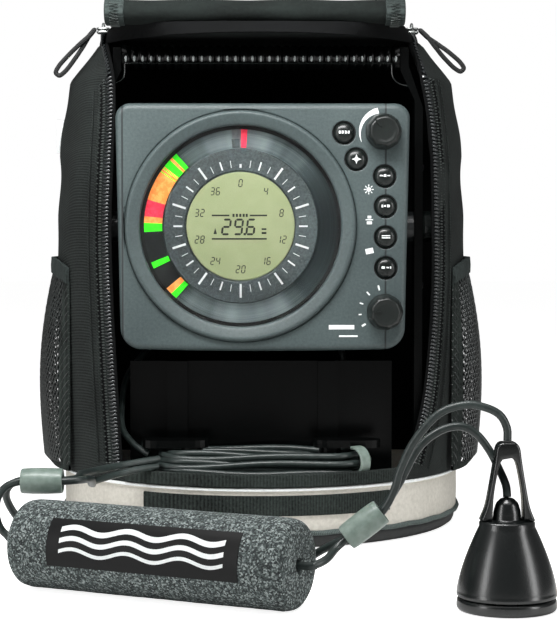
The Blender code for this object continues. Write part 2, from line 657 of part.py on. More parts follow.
def make_housing(pivot):
    gasket = [head_ring(FACE_BACK + GAP), head_ring(FACE_BACK + GAP + 1.0)]
    seal = loft_object("housing_gasket", gasket, "gasket_rubber", parent=pivot)
    middle = [head_ring(FACE_BACK - 2, 3.0, 3.0), head_ring(FACE_BACK + 4, 3.0, 3.0)]
    boolean(seal, loft_object("gasket_middle", middle, None))
    rings = ((FACE_BACK + 2 * GAP + 1.0, 0.0), (-45.0, 0.6), (-22.0, 4.0), (-4.0, 12.0), (5.0, 18.0),
             (HOUSING_BACK, 23.0))
    body = loft_object("rear_housing", [head_ring(y, inset, inset) for y, inset in rings], "housing_plastic",
                       parent=pivot)
    boss = bmesh.new()
    for side in (-1, 1):
        end = (side * (ARM_X[0] - GAP), PIVOT[1], PIVOT[2])
        add_rod(boss, (side * 80.0, PIVOT[1], PIVOT[2]), end, 9.0, 24)
    boolean(body, from_bmesh("pivot_bosses", boss, None), "UNION")
    wall = 3.0
    hollow = [head_ring(min(y, HOUSING_BACK - wall) - (6.0 if i == 0 else 0.0), inset + wall, inset + wall)
              for i, (y, inset) in enumerate(rings)]
    boolean(body, loft_object("housing_hollow", hollow, None))
    for side, tail in ((-1, "left"), (1, "right")):
        knob = [(0, 5.5), (8.2, 5.5), (9.4, 4.6), (9.7, 1.2), (9.0, 0.0), (3.6, 0.0), (3.6, -5.4), (0, -5.4)]
        origin = (side * (ARM_X[1] + GAP), PIVOT[1], PIVOT[2])
        turned_object("tilt_knob_" + tail, knob, "knob_rubber", origin, (side, 0, 0), 16, pivot)
    plug = [(0, 26.0), (2.8, 26.0), (4.2, 12.0), (8.0, 10.0), (8.0, 0.0), (0, 0.0)]
    for name, x in (("transducer_plug", -30.0), ("power_plug", 30.0)):
        origin = (x, HOUSING_BACK + GAP, 168.0)
        turned_object(name, plug, "knob_rubber", origin, (0, 1, 0), 20, pivot)


def make_cables():
    outer = []
    inner = []
    for outline, radius in ((outer, WINDING_RADII[1]), (inner, WINDING_RADII[0])):
        for side in (1, -1):
            for i in range(9):
                angle = (0 if side > 0 else math.pi) - math.pi / 2 + math.pi * i / 8
                across = side * CLEAT_X + radius * math.cos(angle)
                outline.append((across, CLEAT_Y + radius * math.sin(angle)))
    outline_curve("cable_winding", [outer, inner[::-1]], *WINDING_Z, "cord_jacket")
    cord_object("transducer_cable", CABLE_ROUTE, "cord_jacket")
    cord_object("hanger_cord", HANGER_ROUTE, "cord_jacket")
    cord_object("head_lead", HEAD_LEAD_ROUTE, "cord_jacket")
    cord_object("power_lead", POWER_LEAD_ROUTE, "cord_jacket")
    for name, centre, axis in (("keeper_left", KEEPER_LEFT, (1, 0, 0)), ("keeper_right", KEEPER_RIGHT,
                                                                        KEEPER_RIGHT_AXIS)):
        make_keeper(name, Vector(centre), Vector(axis).normalized())
    make_float()
    make_sonar()


def make_keeper(name, centre, axis):
    """Short soft tube that both cords pass through; its bore is a slot as wide as the two cords."""
    bm = bmesh.new()
    add_rod(bm, centre - axis * KEEPER_LENGTH / 2, centre + axis * KEEPER_LENGTH / 2, KEEPER_RADIUS, 24)
    keeper = from_bmesh(name, bm, "keeper_silicone")
    turn = axis.to_track_quat("X", "Z").to_matrix().to_4x4()
    slot = bmesh.new()
    add_box(slot, (-20, -5.3, -3.9), (20, 5.3, 3.9), Matrix.Translation(centre) @ turn)
    boolean(keeper, from_bmesh(name + "_slot", slot, None))


def make_float():
    half = FLOAT_HALF_LENGTH
    r = FLOAT_RADIUS
    bore = 2.9
    profile = [(r - 5, half), (r - 1.5, half - 1.5), (r, half - 5), (r, 5 - half), (r - 1.5, 1.5 - half),
               (r - 5, -half), (bore, -half), (bore, half)]
    axis = (math.cos(FLOAT_TURN), math.sin(FLOAT_TURN), 0.0)
    turned_object("float", profile, "float_foam", FLOAT_CENTRE, axis, 24)


def make_sonar():
    origin = (*SONAR, 0.0)
    turned_object("transducer_base", [(0, 6.0), (23.4, 6.0), (24.2, 5.0), (24.2, 0.8), (23.4, 0.0), (0, 0.0)],
                  "sonar_plastic", origin, steps=24)
    body = [(0, 54.2), (2.6, 53.6), (5.0, 51.4), (6.0, 48.0), (6.2, 43.0), (13.0, 43.0), (14.2, 41.0),
            (18.6, 31.0), (22.0, 20.0), (24.0, 11.0), (24.2, 7.2), (23.8, 6.3), (0, 6.3)]
    turned_object("transducer_body", body, "sonar_plastic", origin, steps=24)
    x = SONAR[0]
    half = [(2.4, 73.6), (4.4, 70.0), (6.6, 56.0), (7.4, 43.3), (12.6, 43.3), (10.6, 60.0), (7.2, 76.0), (4.6, 81.2)]
    outline = [(x + across, z) for across, z in half] + [(x - across, z) for across, z in half[::-1]]
    outline_curve("transducer_yoke", [outline], SONAR[1] - 5.0, SONAR[1] + 5.0, "sonar_plastic", plane="XZ")


clear_scene()
PARTS = make_collection("fish_finder")
CUTTERS = make_collection("cutters")
make_case()
make_zip_pulls()
make_pockets()
make_shuttle()
make_head()
make_cables()
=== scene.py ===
import math

import bmesh
import bpy
import numpy as np
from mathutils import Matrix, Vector
from mathutils.geometry import tessellate_polygon


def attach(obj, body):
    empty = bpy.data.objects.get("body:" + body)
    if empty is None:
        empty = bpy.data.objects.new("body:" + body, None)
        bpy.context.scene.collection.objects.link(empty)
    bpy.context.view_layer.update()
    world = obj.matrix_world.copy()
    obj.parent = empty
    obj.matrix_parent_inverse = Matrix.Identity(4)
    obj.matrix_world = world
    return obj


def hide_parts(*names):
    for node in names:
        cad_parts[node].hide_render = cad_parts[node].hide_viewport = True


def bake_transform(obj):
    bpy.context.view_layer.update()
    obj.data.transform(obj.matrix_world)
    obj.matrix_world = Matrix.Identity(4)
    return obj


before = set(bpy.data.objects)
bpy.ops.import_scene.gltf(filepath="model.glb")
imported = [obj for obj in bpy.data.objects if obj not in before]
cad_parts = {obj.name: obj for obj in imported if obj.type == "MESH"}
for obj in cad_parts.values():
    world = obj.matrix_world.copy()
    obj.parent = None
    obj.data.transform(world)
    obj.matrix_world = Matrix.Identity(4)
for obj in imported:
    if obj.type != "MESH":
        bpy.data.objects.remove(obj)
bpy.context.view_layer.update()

# Everything below is worked out in millimetres and becomes metres when a mesh is made.
mm = 0.001


# helpers for materials
def linear(hexText):
    # sRGB hex to linear colour
    values = [int(hexText[i:i + 2], 16) / 255 for i in (1, 3, 5)]
    return tuple(v / 12.92 if v <= 0.04045 else ((v + 0.055) / 1.055) ** 2.4 for v in values) + (1.0,)


def addNode(tree, kind, inputs=None, out=0, into=(), stops=(), **settings):
    # one node with its settings, colour stops, inputs (values or sockets) and the sockets that it feeds
    node = tree.nodes.new(kind)
    for key, value in settings.items():
        setattr(node, key, value)
    for key, value in (inputs or {}).items():
        if isinstance(value, bpy.types.NodeSocket):
            tree.links.new(value, node.inputs[key])
        else:
            node.inputs[key].default_value = value
    while stops and len(node.color_ramp.elements) < len(stops):
        node.color_ramp.elements.new(0.5)
    for i, (position, colour) in enumerate(stops):
        node.color_ramp.elements[i].position = position
        node.color_ramp.elements[i].color = linear(colour)
    for socket in into:
        tree.links.new(node.outputs[out], socket)
    return node.outputs[out]


def startMaterial(name, **shaderValues):
    # a Principled material with its constants on the shader's own sockets
    material = bpy.data.materials.new(name)
    material.use_nodes = True
    tree = material.node_tree
    shader = tree.nodes["Principled BSDF"].inputs
    for key, value in shaderValues.items():
        shader[key.replace("_", " ")].default_value = value
    return material, tree, shader, addNode(tree, "ShaderNodeTexCoord", out="Object")


def perMetre(sizeMm):
    # noise scale whose features are about sizeMm across
    return 1000 / (2 * sizeMm)


def bumpOn(tree, shader, height, strength, distanceMm):
    addNode(tree, "ShaderNodeBump", {"Height": height, "Strength": strength, "Distance": distanceMm * mm},
            into=(shader["Normal"],))


def moulded(name, dark, light, grainMm=0.9, bump=0.15, spread=(0.35, 0.65), **shaderValues):
    # a moulded or rubbery surface: two close tones in a fine grain, with the grain in its relief and gloss
    material, tree, shader, place = startMaterial(name, **shaderValues)
    grain, broad = (addNode(tree, "ShaderNodeTexNoise",
                            {"Vector": place, "Scale": perMetre(size), "Detail": detail,
                                                         "Roughness": 0.55})
                    for size, detail in ((grainMm, 3.0), (28.0, 2.0)))
    both = addNode(tree, "ShaderNodeMath", {0: grain, 1: broad}, operation="ADD")
    half = addNode(tree, "ShaderNodeMath", {0: both, 1: 0.5}, operation="MULTIPLY")
    addNode(tree, "ShaderNodeValToRGB", {"Fac": half}, into=(shader["Base Color"],),
            stops=((spread[0], dark), (spread[1], light)))
    rough = shader["Roughness"].default_value
    addNode(tree, "ShaderNodeMapRange", {"Value": broad, "To Min": max(0.02, rough - 0.06),
                                         "To Max": min(1.0, rough + 0.08)}, into=(shader["Roughness"],))
    bumpOn(tree, shader, grain, bump, 0.3)
    return material


def woven(name, dark, light, pitchMm, lean, bump, fuzzMm=0.7, ribShare=0.6, **shaderValues):
    # cloth: diagonal or straight ribs at the thread pitch, broken up by fuzz, with slow tone changes
    material, tree, shader, place = startMaterial(name, **shaderValues)
    fuzz, broad = (addNode(tree, "ShaderNodeTexNoise", {"Vector": place, "Scale": perMetre(size),
                                                        "Detail": detail, "Roughness": roughness})
                   for size, detail, roughness in ((fuzzMm, 4.0, 0.65), (22.0, 2.0, 0.55)))
    turned = addNode(tree, "ShaderNodeVectorMath", {0: place, 1: lean}, "Value", operation="DOT_PRODUCT")
    phase = addNode(tree, "ShaderNodeMath", {0: turned, 1: 2000 * math.pi / pitchMm}, operation="MULTIPLY")
    wobble = addNode(tree, "ShaderNodeMath", {0: fuzz, 1: 4.0}, operation="MULTIPLY")
    phase = addNode(tree, "ShaderNodeMath", {0: phase, 1: wobble}, operation="ADD")
    ribs = addNode(tree, "ShaderNodeMath", {0: phase}, operation="SINE")
    ribs = addNode(tree, "ShaderNodeMapRange", {"Value": ribs, "From Min": -1.0, "To Min": 0.5 - ribShare / 2,
                                                "To Max": 0.5 + ribShare / 2})
    mixed = addNode(tree, "ShaderNodeMath", {0: ribs, 1: fuzz}, operation="ADD")
    tone = addNode(tree, "ShaderNodeMath", {0: mixed, 1: broad}, operation="ADD")
    tone = addNode(tree, "ShaderNodeMath", {0: tone, 1: 0.36}, operation="MULTIPLY")
    addNode(tree, "ShaderNodeValToRGB", {"Fac": tone}, into=(shader["Base Color"],),
            stops=((0.4, dark), (0.68, light)))
    bumpOn(tree, shader, mixed, bump, 0.35)
    return material


# helpers for shapes
def gridFaces(rows, columns, wrapRows=False, wrapColumns=False, offset=0):
    # quads of a grid of rows by columns, closed either way when asked
    r, c = np.meshgrid(np.arange(rows if wrapRows else rows - 1),
                       np.arange(columns if wrapColumns else columns - 1), indexing="ij")
    r2, c2 = (r + 1) % rows, (c + 1) % columns
    quads = np.stack([r * columns + c, r * columns + c2, r2 * columns + c2, r2 * columns + c], axis=-1)
    return (quads.reshape(-1, 4) + offset).tolist()


def gridPart(points, wrapRows=False, wrapColumns=False, caps=False):
    # a grid of points as one part: its points and its faces, with end caps across the first and last rows
    rows, columns = points.shape[:2]
    faces = gridFaces(rows, columns, wrapRows, wrapColumns)
    if caps:
        faces.append(list(range(columns)))
        faces.append(list(range((rows - 1) * columns, rows * columns)))
    return points.reshape(-1, 3), faces


def makePiece(name, parts, material, body, slotName, replaced=(), smooth=40, closed=True):
    # join parts into one object at the origin; doubles are merged and faces turned outwards
    points = []
    faces = []
    start = 0
    for partPoints, partFaces in parts:
        points.append(partPoints)
        faces.extend([[i + start for i in face] for face in partFaces])
        start += len(partPoints)
    mesh = bpy.data.meshes.new(name)
    mesh.from_pydata((np.concatenate(points) * mm).tolist(), [], faces)
    bm = bmesh.new()
    bm.from_mesh(mesh)
    bmesh.ops.remove_doubles(bm, verts=bm.verts, dist=0.000002)
    if closed:
        bmesh.ops.recalc_face_normals(bm, faces=bm.faces)
    bm.to_mesh(mesh)
    bm.free()
    mesh.shade_smooth()
    mesh.set_sharp_from_angle(angle=math.radians(smooth))
    piece = bpy.data.objects.new(name, mesh)
    bpy.context.scene.collection.objects.link(piece)
    mesh.materials.append(material)
    if body:
        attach(piece, body)
    if replaced:
        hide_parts(*replaced)
    return piece


def axisFrame(axis):
    # two directions square to an axis
    axis = np.asarray(axis, float) / np.linalg.norm(axis)
    helper = np.array([0.0, 0.0, 1.0]) if abs(axis[2]) < 0.9 else np.array([1.0, 0.0, 0.0])
    side = np.cross(helper, axis)
    side /= np.linalg.norm(side)
    return axis, side, np.cross(axis, side)


def turnedPart(profile, origin, axis, steps=96, lobes=None):
    # profile of (radius, height) turned about the axis; lobes(angle, height) may scale the radius
    axis, side, up = axisFrame(axis)
    profile = np.asarray(profile, float)
    angle = np.linspace(0, 2 * np.pi, steps, endpoint=False)
    radius = profile[:, 0:1] * np.ones_like(angle)
    if lobes is not None:
        radius = radius * lobes(angle[None, :], profile[:, 1:2])
    points = (np.asarray(origin, float) + radius[..., None] * (np.cos(angle)[None, :, None] * side
                                                              + np.sin(angle)[None, :, None] * up)
              + profile[:, 1][:, None, None] * axis)
    closed = profile[0, 0] > 0.001 and profile[-1, 0] > 0.001
    return gridPart(points, wrapRows=closed, wrapColumns=True)


def roundProfile(profile, radius=0.6, steps=3):
    # soften the corners of a profile by replacing each inner corner with a short quadratic curve
    profile = np.asarray(profile, float)
    result = [profile[0]]
    for before, corner, after in zip(profile, profile[1:], profile[2:]):
        a = corner + (before - corner) * min(0.45, radius / max(1e-6, np.linalg.norm(before - corner)))
        b = corner + (after - corner) * min(0.45, radius / max(1e-6, np.linalg.norm(after - corner)))
        for t in np.linspace(0, 1, steps + 1):
            result.append((1 - t) ** 2 * a + 2 * t * (1 - t) * corner + t ** 2 * b)
    result.append(profile[-1])
    return np.array(result)


def smoothRoute(route, spacing):
    # Catmull-Rom curve through the route's points, read off at even lengths
    route = np.asarray(route, float)
    ends = np.vstack([2 * route[0] - route[1], route, 2 * route[-1] - route[-2]])
    t = np.linspace(0, 1, 16, endpoint=False)[None, :, None]
    a, b, c, d = (ends[i:len(ends) - 3 + i][:, None, :] for i in range(4))
    fine = 0.5 * (2 * b + (c - a) * t + (2 * a - 5 * b + 4 * c - d) * t ** 2 + (3 * b - a - 3 * c + d)
                  * t ** 3)
    fine = np.vstack([fine.reshape(-1, 3), route[-1]])
    run = np.concatenate([[0], np.cumsum(np.linalg.norm(np.diff(fine, axis=0), axis=1))])
    want = np.linspace(0, run[-1], max(3, int(round(run[-1] / spacing)) + 1))
    return np.stack([np.interp(want, run, fine[:, k]) for k in range(3)], axis=1)


def pathFrames(path, up=(0.0, 0.0, 1.0)):
    # along a path: its direction, and a side and an upper direction that turn as little as they can
    tangent = np.gradient(path, axis=0)
    tangent /= np.linalg.norm(tangent, axis=1)[:, None]
    side = np.empty_like(path)
    last = np.cross(tangent[0], up)
    if np.linalg.norm(last) < 0.05:
        last = np.cross(tangent[0], (1.0, 0.0, 0.0))
    for i, direction in enumerate(tangent):
        last = last - direction * np.dot(last, direction)
        last = last / np.linalg.norm(last)
        side[i] = last
    return tangent, side, np.cross(side, tangent)


def sweptPart(path, section, up=(0.0, 0.0, 1.0), loop=False):
    # a section of (side, up) points carried along a path
    _, side, upper = pathFrames(np.asarray(path, float), up)
    section = np.asarray(section, float)
    points = (np.asarray(path)[:, None, :] + section[None, :, 0:1] * side[:, None, :]
              + section[None, :, 1:2] * upper[:, None, :])
    return gridPart(points, wrapRows=loop, wrapColumns=True, caps=not loop)


def roundSection(radius, sides=12):
    angle = np.linspace(0, 2 * np.pi, sides, endpoint=False)
    return np.stack([radius * np.cos(angle), radius * np.sin(angle)], axis=1)


def platePiece(name, outlines, low, high, bevel, material, body, **facts):
    # upright flat outlines, with any holes, extruded from the near to the far depth, edges rounded by bevel
    curve = bpy.data.curves.new(name, "CURVE")
    curve.dimensions = "2D"
    curve.fill_mode = "BOTH"
    curve.extrude = ((high - low) / 2 - bevel) * mm
    curve.bevel_depth = bevel * mm
    curve.bevel_resolution = 2
    curve.offset = -bevel * mm
    for outline in outlines:
        spline = curve.splines.new("POLY")
        spline.points.add(len(outline) - 1)
        spline.use_cyclic_u = True
        flat = np.zeros((len(outline), 4))
        flat[:, :2] = np.asarray(outline) * mm
        flat[:, 3] = 1.0
        spline.points.foreach_set("co", flat.ravel())
    holder = bpy.data.objects.new(name + "Curve", curve)
    bpy.context.scene.collection.objects.link(holder)
    bpy.context.view_layer.update()
    mesh = bpy.data.meshes.new_from_object(holder.evaluated_get(bpy.context.evaluated_depsgraph_get()))
    bpy.data.objects.remove(holder, do_unlink=True)
    co = np.empty(len(mesh.vertices) * 3)
    mesh.vertices.foreach_get("co", co)
    co = co.reshape(-1, 3) / mm
    middle = (low + high) / 2
    co = np.stack([co[:, 0], middle - co[:, 2], co[:, 1]], axis=1)
    faces = [list(polygon.vertices) for polygon in mesh.polygons]
    bpy.data.meshes.remove(mesh)
    return makePiece(name, [(co, faces)], material, body, **facts)


def circle(x, z, radius, steps=48):
    angle = np.linspace(0, 2 * np.pi, steps, endpoint=False)
    return np.stack([x + radius * np.cos(angle), z + radius * np.sin(angle)], axis=1)


# camera and light
cameraValues = {"eyeHeight": 182.0, "distance": 1186.0, "lens": 109.4, "lookDown": 79.5 / 1900,
                "lookRight": 17.5 / 1900}
cameraData = bpy.data.cameras.new("camera")
cameraData.lens = cameraValues["lens"]
cameraData.clip_end = 20
camera = bpy.data.objects.new("camera", cameraData)
bpy.context.scene.collection.objects.link(camera)
bpy.context.scene.camera = camera
camera.location = (0, -cameraValues["distance"] * mm, cameraValues["eyeHeight"] * mm)
aim = Vector((cameraValues["lookRight"], 1.0, -cameraValues["lookDown"]))
camera.rotation_euler = aim.to_track_quat("-Z", "Y").to_euler()

floorMesh = bpy.data.meshes.new("floor")
floorMesh.from_pydata([(-6, -6, -0.0005), (6, -6, -0.0005), (6, 6, -0.0005), (-6, 6, -0.0005)], [],
                      [(0, 1, 2, 3)])
floor = bpy.data.objects.new("floor", floorMesh)
bpy.context.scene.collection.objects.link(floor)
# matt white paper, lifted to white where the camera sees it
floorMaterial, floorTree, floorShader, _ = startMaterial(
    "paperFloor", Base_Color=linear("#f4f4f3"), Roughness=0.9, Emission_Color=(1.0, 1.0, 1.0, 1.0))
floorSeen = addNode(floorTree, "ShaderNodeLightPath", out="Is Camera Ray")
addNode(floorTree, "ShaderNodeMapRange", {"Value": floorSeen, "To Max": 0.86},
        into=(floorShader["Emission Strength"],))
floorMesh.materials.append(floorMaterial)

# the paper sweep is white to the camera, while what it sends onto the object is dimmer
lightValues = {"sweep": 1.0, "fill": 0.14, "nearTop": 2.6, "topBox": 8.0, "leftStrip": 4.2, "rightStrip": 4.2}
world = bpy.data.worlds.new("studio")
bpy.context.scene.world = world
world.use_nodes = True
worldTree = world.node_tree
backdrop = worldTree.nodes["Background"].inputs
backdrop["Color"].default_value = (1.0, 1.0, 1.0, 1.0)
seen = addNode(worldTree, "ShaderNodeLightPath", out="Is Camera Ray")
addNode(worldTree, "ShaderNodeMapRange", {"Value": seen, "To Min": lightValues["fill"],
                                          "To Max": lightValues["sweep"]}, into=(backdrop["Strength"],))
bpy.context.scene.view_settings.view_transform = "Standard"


def addLight(name, place, target, width, height, watts):
    data = bpy.data.lights.new(name, "AREA")
    data.shape = "RECTANGLE"
    data.size = width
    data.size_y = height
    data.energy = watts
    light = bpy.data.objects.new(name, data)
    bpy.context.scene.collection.objects.link(light)
    light.location = place
    light.rotation_euler = (Vector(target) - Vector(place)).to_track_quat("-Z", "Y").to_euler()


addLight("topBox", (0.0, -0.5, 1.5), (0, -0.1, 0.0), 1.6, 1.2, lightValues["topBox"])
addLight("nearTop", (-0.06, -0.3, 0.47), (0, -0.06, 0.24), 0.36, 0.1, lightValues["nearTop"])
addLight("leftStrip", (-0.9, -0.8, 0.35), (0.05, -0.15, 0.1), 0.25, 0.8, lightValues["leftStrip"])
addLight("rightStrip", (1.0, -0.75, 0.35), (0.05, -0.15, 0.1), 0.25, 0.8, lightValues["rightStrip"])
print("camera, floor and lights")


# materials, named for the real ones
# Coated nylon twill: charcoal, dull, with fine diagonal ribs drawn three times coarser than the real 0.5 mm
twillNylon = woven("twillNylon", "#080b0a", "#2a302e", 1.7, (0.8, 0.5, 1.0), 0.55, 0.7, 0.6, Roughness=0.9,
                   Specular_IOR_Level=0.3)
# Black taffeta lining: nearly no light comes back from inside the case
blackLining = woven("blackLining", "#050606", "#0c0d0e", 1.2, (1.0, 0.6, 0.8), 0.2, Roughness=0.95,
                    Specular_IOR_Level=0.15)
# Brushed fleece of the rolled flap, fuzzier than the twill
fleece = woven("fleece", "#070908", "#1d2321", 3.1, (0.3, 1.0, -0.8), 0.6, 0.9, 0.0, Roughness=0.97,
               Specular_IOR_Level=0.2)
# Pale coated polyester band: warm off-white, slightly sheened, fine even grain
coatedBand = moulded("coatedBand", "#b9b5ab", "#d3cfc5", 1.1, 0.12, Roughness=0.75)
# Hook-and-loop pile: black, very rough, clumped loops of about 1.3 mm
loopPile = woven("loopPile", "#050606", "#343b38", 1.9, (1.0, 0.4, 0.0), 0.8, 0.8, 0.3, Roughness=1.0,
                 Specular_IOR_Level=0.2)
# Rubberised boot: matt black with faint scuffs
bootRubber = moulded("bootRubber", "#0c0d0d", "#1d2020", 1.6, 0.2, Roughness=0.55)
# Piping cord: grey-green woven edging
pipingCord = woven("pipingCord", "#2c3432", "#5c6865", 1.4, (1.0, 1.0, 0.3), 0.5, Roughness=0.8)
# Polyester webbing: dark grey with straight cross ribs
webbingTape = woven("webbingTape", "#171d1c", "#38413f", 1.3, (0.0, 1.0, 0.05), 0.5, Roughness=0.85,
                    Specular_IOR_Level=0.3)
# Nylon zip coil: black monofilament with small bright glints
coilNylon = moulded("coilNylon", "#0d1011", "#202526", 1.0, 0.05, Roughness=0.2, Specular_IOR_Level=0.9)
stitchThread = moulded("stitchThread", "#1d2120", "#4a514e", 0.8, 0.2, Roughness=0.6)
knitMesh = moulded("knitMesh", "#090b0b", "#333938", 1.6, 0.3, Roughness=0.35, Specular_IOR_Level=0.7)
# Die-cast zip slider: black enamel worn to bright zinc along its edges
sliderZinc = moulded("sliderZinc", "#2a2c2c", "#b9bdbb", 1.8, 0.1, (0.42, 0.6), Roughness=0.3, Metallic=0.9)
# Glossy black ABS of the shuttle: dark with a broad soft reflection
glossAbs = moulded("glossAbs", "#020303", "#060707", 1.5, 0.03, Roughness=0.22, Specular_IOR_Level=0.2)
# Light grey beads on the grip: painted highlights that stand for the glints on its ribs
paintedGlintPlastic = moulded("paintedGlintPlastic", "#8b9392", "#c6cccb", 0.8, 0.0, Roughness=0.15)
batteryCase = moulded("batteryCase", "#101112", "#1c1d1f", 1.2, 0.15, Roughness=0.5)
# Satin black ABS of housings and window ring's inner wall
satinAbs = moulded("satinAbs", "#15191a", "#232829", 1.0, 0.1, Roughness=0.42)
# Button and knob rubber: deep green-black with a satin sheen
satinRubber = moulded("satinRubber", "#0b0f0e", "#171d1b", 0.8, 0.06, Roughness=0.26)
knobRubber = moulded("knobRubber", "#0a0e0d", "#171d1b", 0.9, 0.1, Roughness=0.36)
whiteInk = moulded("whiteInk", "#dfe5e4", "#f6f8f8", 0.8, 0.02, Roughness=0.5)
darkInk = moulded("darkInk", "#20261f", "#2b3229", 0.8, 0.02, Roughness=0.5)
boardMask = moulded("boardMask", "#12452a", "#1d6a3d", 1.4, 0.1, Roughness=0.35)
motorSteel = moulded("motorSteel", "#8b8f92", "#b4b8ba", 0.9, 0.08, Roughness=0.32, Metallic=1.0)
gasketRubber = moulded("gasketRubber", "#0b0c0c", "#151717", 1.0, 0.1, Roughness=0.7)
# Polyurethane cable jacket: grey-green, satin
cableJacket = moulded("cableJacket", "#1b2221", "#323b39", 1.6, 0.12, Roughness=0.36)
# Silicone keeper: pale grey-green that lets a little light through
keeperSilicone = moulded("keeperSilicone", "#66766e", "#87958d", 1.8, 0.06, Roughness=0.35,
                         Subsurface_Weight=0.25, Subsurface_Radius=(0.004, 0.004, 0.003))
# Cast urethane of the transducer: black with a fine sparkle
castUrethane = moulded("castUrethane", "#050707", "#101414", 0.7, 0.1, Roughness=0.24,
                       Specular_IOR_Level=0.75)
# Thin clear acrylic window: its index is lowered so that the dial behind stays unshifted
clearAcrylic = startMaterial("clearAcrylic", Base_Color=(1.0, 1.0, 1.0, 1.0), Roughness=0.02, IOR=1.12,
                             Transmission_Weight=1.0)[0]


def makeHeadPlastic():
    # Fine-textured grey-green ABS: a spark-eroded grain, and the two moulded seams as thin dark lines
    material, tree, shader, place = startMaterial("texturedAbs", Roughness=0.5)
    grain, broad = (addNode(tree, "ShaderNodeTexNoise",
                            {"Vector": place, "Scale": perMetre(size), "Detail": detail,
                                                         "Roughness": roughness})
                    for size, detail, roughness in ((0.8, 3.0, 0.7), (30.0, 2.0, 0.55)))
    both = addNode(tree, "ShaderNodeMath", {0: grain, 1: broad}, operation="ADD")
    half = addNode(tree, "ShaderNodeMath", {0: both, 1: 0.5}, operation="MULTIPLY")
    tone = addNode(tree, "ShaderNodeValToRGB", {"Fac": half}, stops=((0.34, "#343f40"), (0.66, "#4b5757")))
    across = addNode(tree, "ShaderNodeSeparateXYZ", {"Vector": place}, "X")
    seams = []
    for seamX in (-81.5, 73.4):
        away = addNode(tree, "ShaderNodeMath", {0: across, 1: seamX * mm}, operation="SUBTRACT")
        away = addNode(tree, "ShaderNodeMath", {0: away}, operation="ABSOLUTE")
        seams.append(addNode(tree, "ShaderNodeMapRange",
                             {"Value": away, "From Min": 0.0003, "From Max": 0.0007}))
    lines = addNode(tree, "ShaderNodeMath", {0: seams[0], 1: seams[1]}, operation="MULTIPLY")
    addNode(tree, "ShaderNodeMix", {"Factor": lines, 6: linear("#1a2021"), 7: tone}, 2,
            (shader["Base Color"],), data_type="RGBA")
    height = addNode(tree, "ShaderNodeMath", {0: grain, 1: lines}, operation="ADD")
    bumpOn(tree, shader, height, 0.22, 0.3)
    return material


def makeSpeckledFoam():
    # Cross-linked foam of mixed chips: close grey-green grains about 0.8 mm across, some pale and some dark
    material, tree, shader, place = startMaterial("speckledFoam", Roughness=0.92)
    chips = addNode(tree, "ShaderNodeTexVoronoi", {"Vector": place, "Scale": 1250.0, "Randomness": 1.0},
                    "Color")
    fine = addNode(tree, "ShaderNodeTexNoise", {"Vector": place, "Scale": perMetre(0.5), "Detail": 4.0,
                                                "Roughness": 0.7})
    value = addNode(tree, "ShaderNodeSeparateColor", {"Color": chips}, "Red")
    mixed = addNode(tree, "ShaderNodeMath", {0: value, 1: fine}, operation="ADD")
    mixed = addNode(tree, "ShaderNodeMath", {0: mixed, 1: 0.5}, operation="MULTIPLY")
    addNode(tree, "ShaderNodeValToRGB", {"Fac": mixed}, into=(shader["Base Color"],),
            stops=((0.22, "#15191a"), (0.42, "#333a3a"), (0.58, "#525b5a"), (0.8, "#a3acaa")))
    bumpOn(tree, shader, mixed, 0.6, 0.4)
    return material


def makeDiscWithPaintedSheen(centre):
    # Turned dark disc: fine rings round its centre, and a painted sheen in its colour, lighter towards the
    # top and bottom and streaked round it, that stands for the reflection of spun metal
    material, tree, shader, place = startMaterial("spunDiscPaintedSheen", Roughness=0.36, Metallic=0.35)
    local = addNode(tree, "ShaderNodeVectorMath", {0: place, 1: tuple(v * mm for v in centre)},
                    operation="SUBTRACT")
    x, z = (addNode(tree, "ShaderNodeSeparateXYZ", {"Vector": local}, axis) for axis in "XZ")
    radius = addNode(tree, "ShaderNodeVectorMath", {0: local}, "Value", operation="LENGTH")
    angle = addNode(tree, "ShaderNodeMath", {0: z, 1: x}, operation="ARCTAN2")
    along = addNode(tree, "ShaderNodeCombineXYZ", {"X": radius})
    rings = addNode(tree, "ShaderNodeTexNoise", {"Vector": along, "Scale": 1500.0, "Detail": 5.0,
                                                 "Roughness": 0.7})
    around = addNode(tree, "ShaderNodeCombineXYZ", {"X": angle})
    sheenStreaks = addNode(tree, "ShaderNodeTexNoise", {"Vector": around, "Scale": 2.2, "Detail": 2.0})
    # painted sheen: the colour is lifted towards the top and bottom of the disc, broken by streaks round it
    upright = addNode(tree, "ShaderNodeMath", {0: angle}, operation="SINE")
    upright = addNode(tree, "ShaderNodeMath", {0: upright, 1: 2.0}, operation="POWER")
    paintedSheen = addNode(tree, "ShaderNodeMath", {0: upright, 1: sheenStreaks}, operation="MULTIPLY")
    paintedSheen = addNode(tree, "ShaderNodeMapRange", {"Value": paintedSheen, "From Min": 0.0, "From Max": 0.75})
    lifted = addNode(tree, "ShaderNodeMath", {0: rings, 1: 0.62}, operation="MULTIPLY")
    total = addNode(tree, "ShaderNodeMath", {0: paintedSheen, 1: lifted}, operation="ADD")
    total = addNode(tree, "ShaderNodeMath", {0: total, 1: 0.16}, operation="SUBTRACT")
    addNode(tree, "ShaderNodeValToRGB", {"Fac": total}, into=(shader["Base Color"],),
            stops=((0.05, "#151b1d"), (0.5, "#4a5758"), (0.95, "#a3b2b3")))
    bumpOn(tree, shader, rings, 0.25, 0.1)
    return material


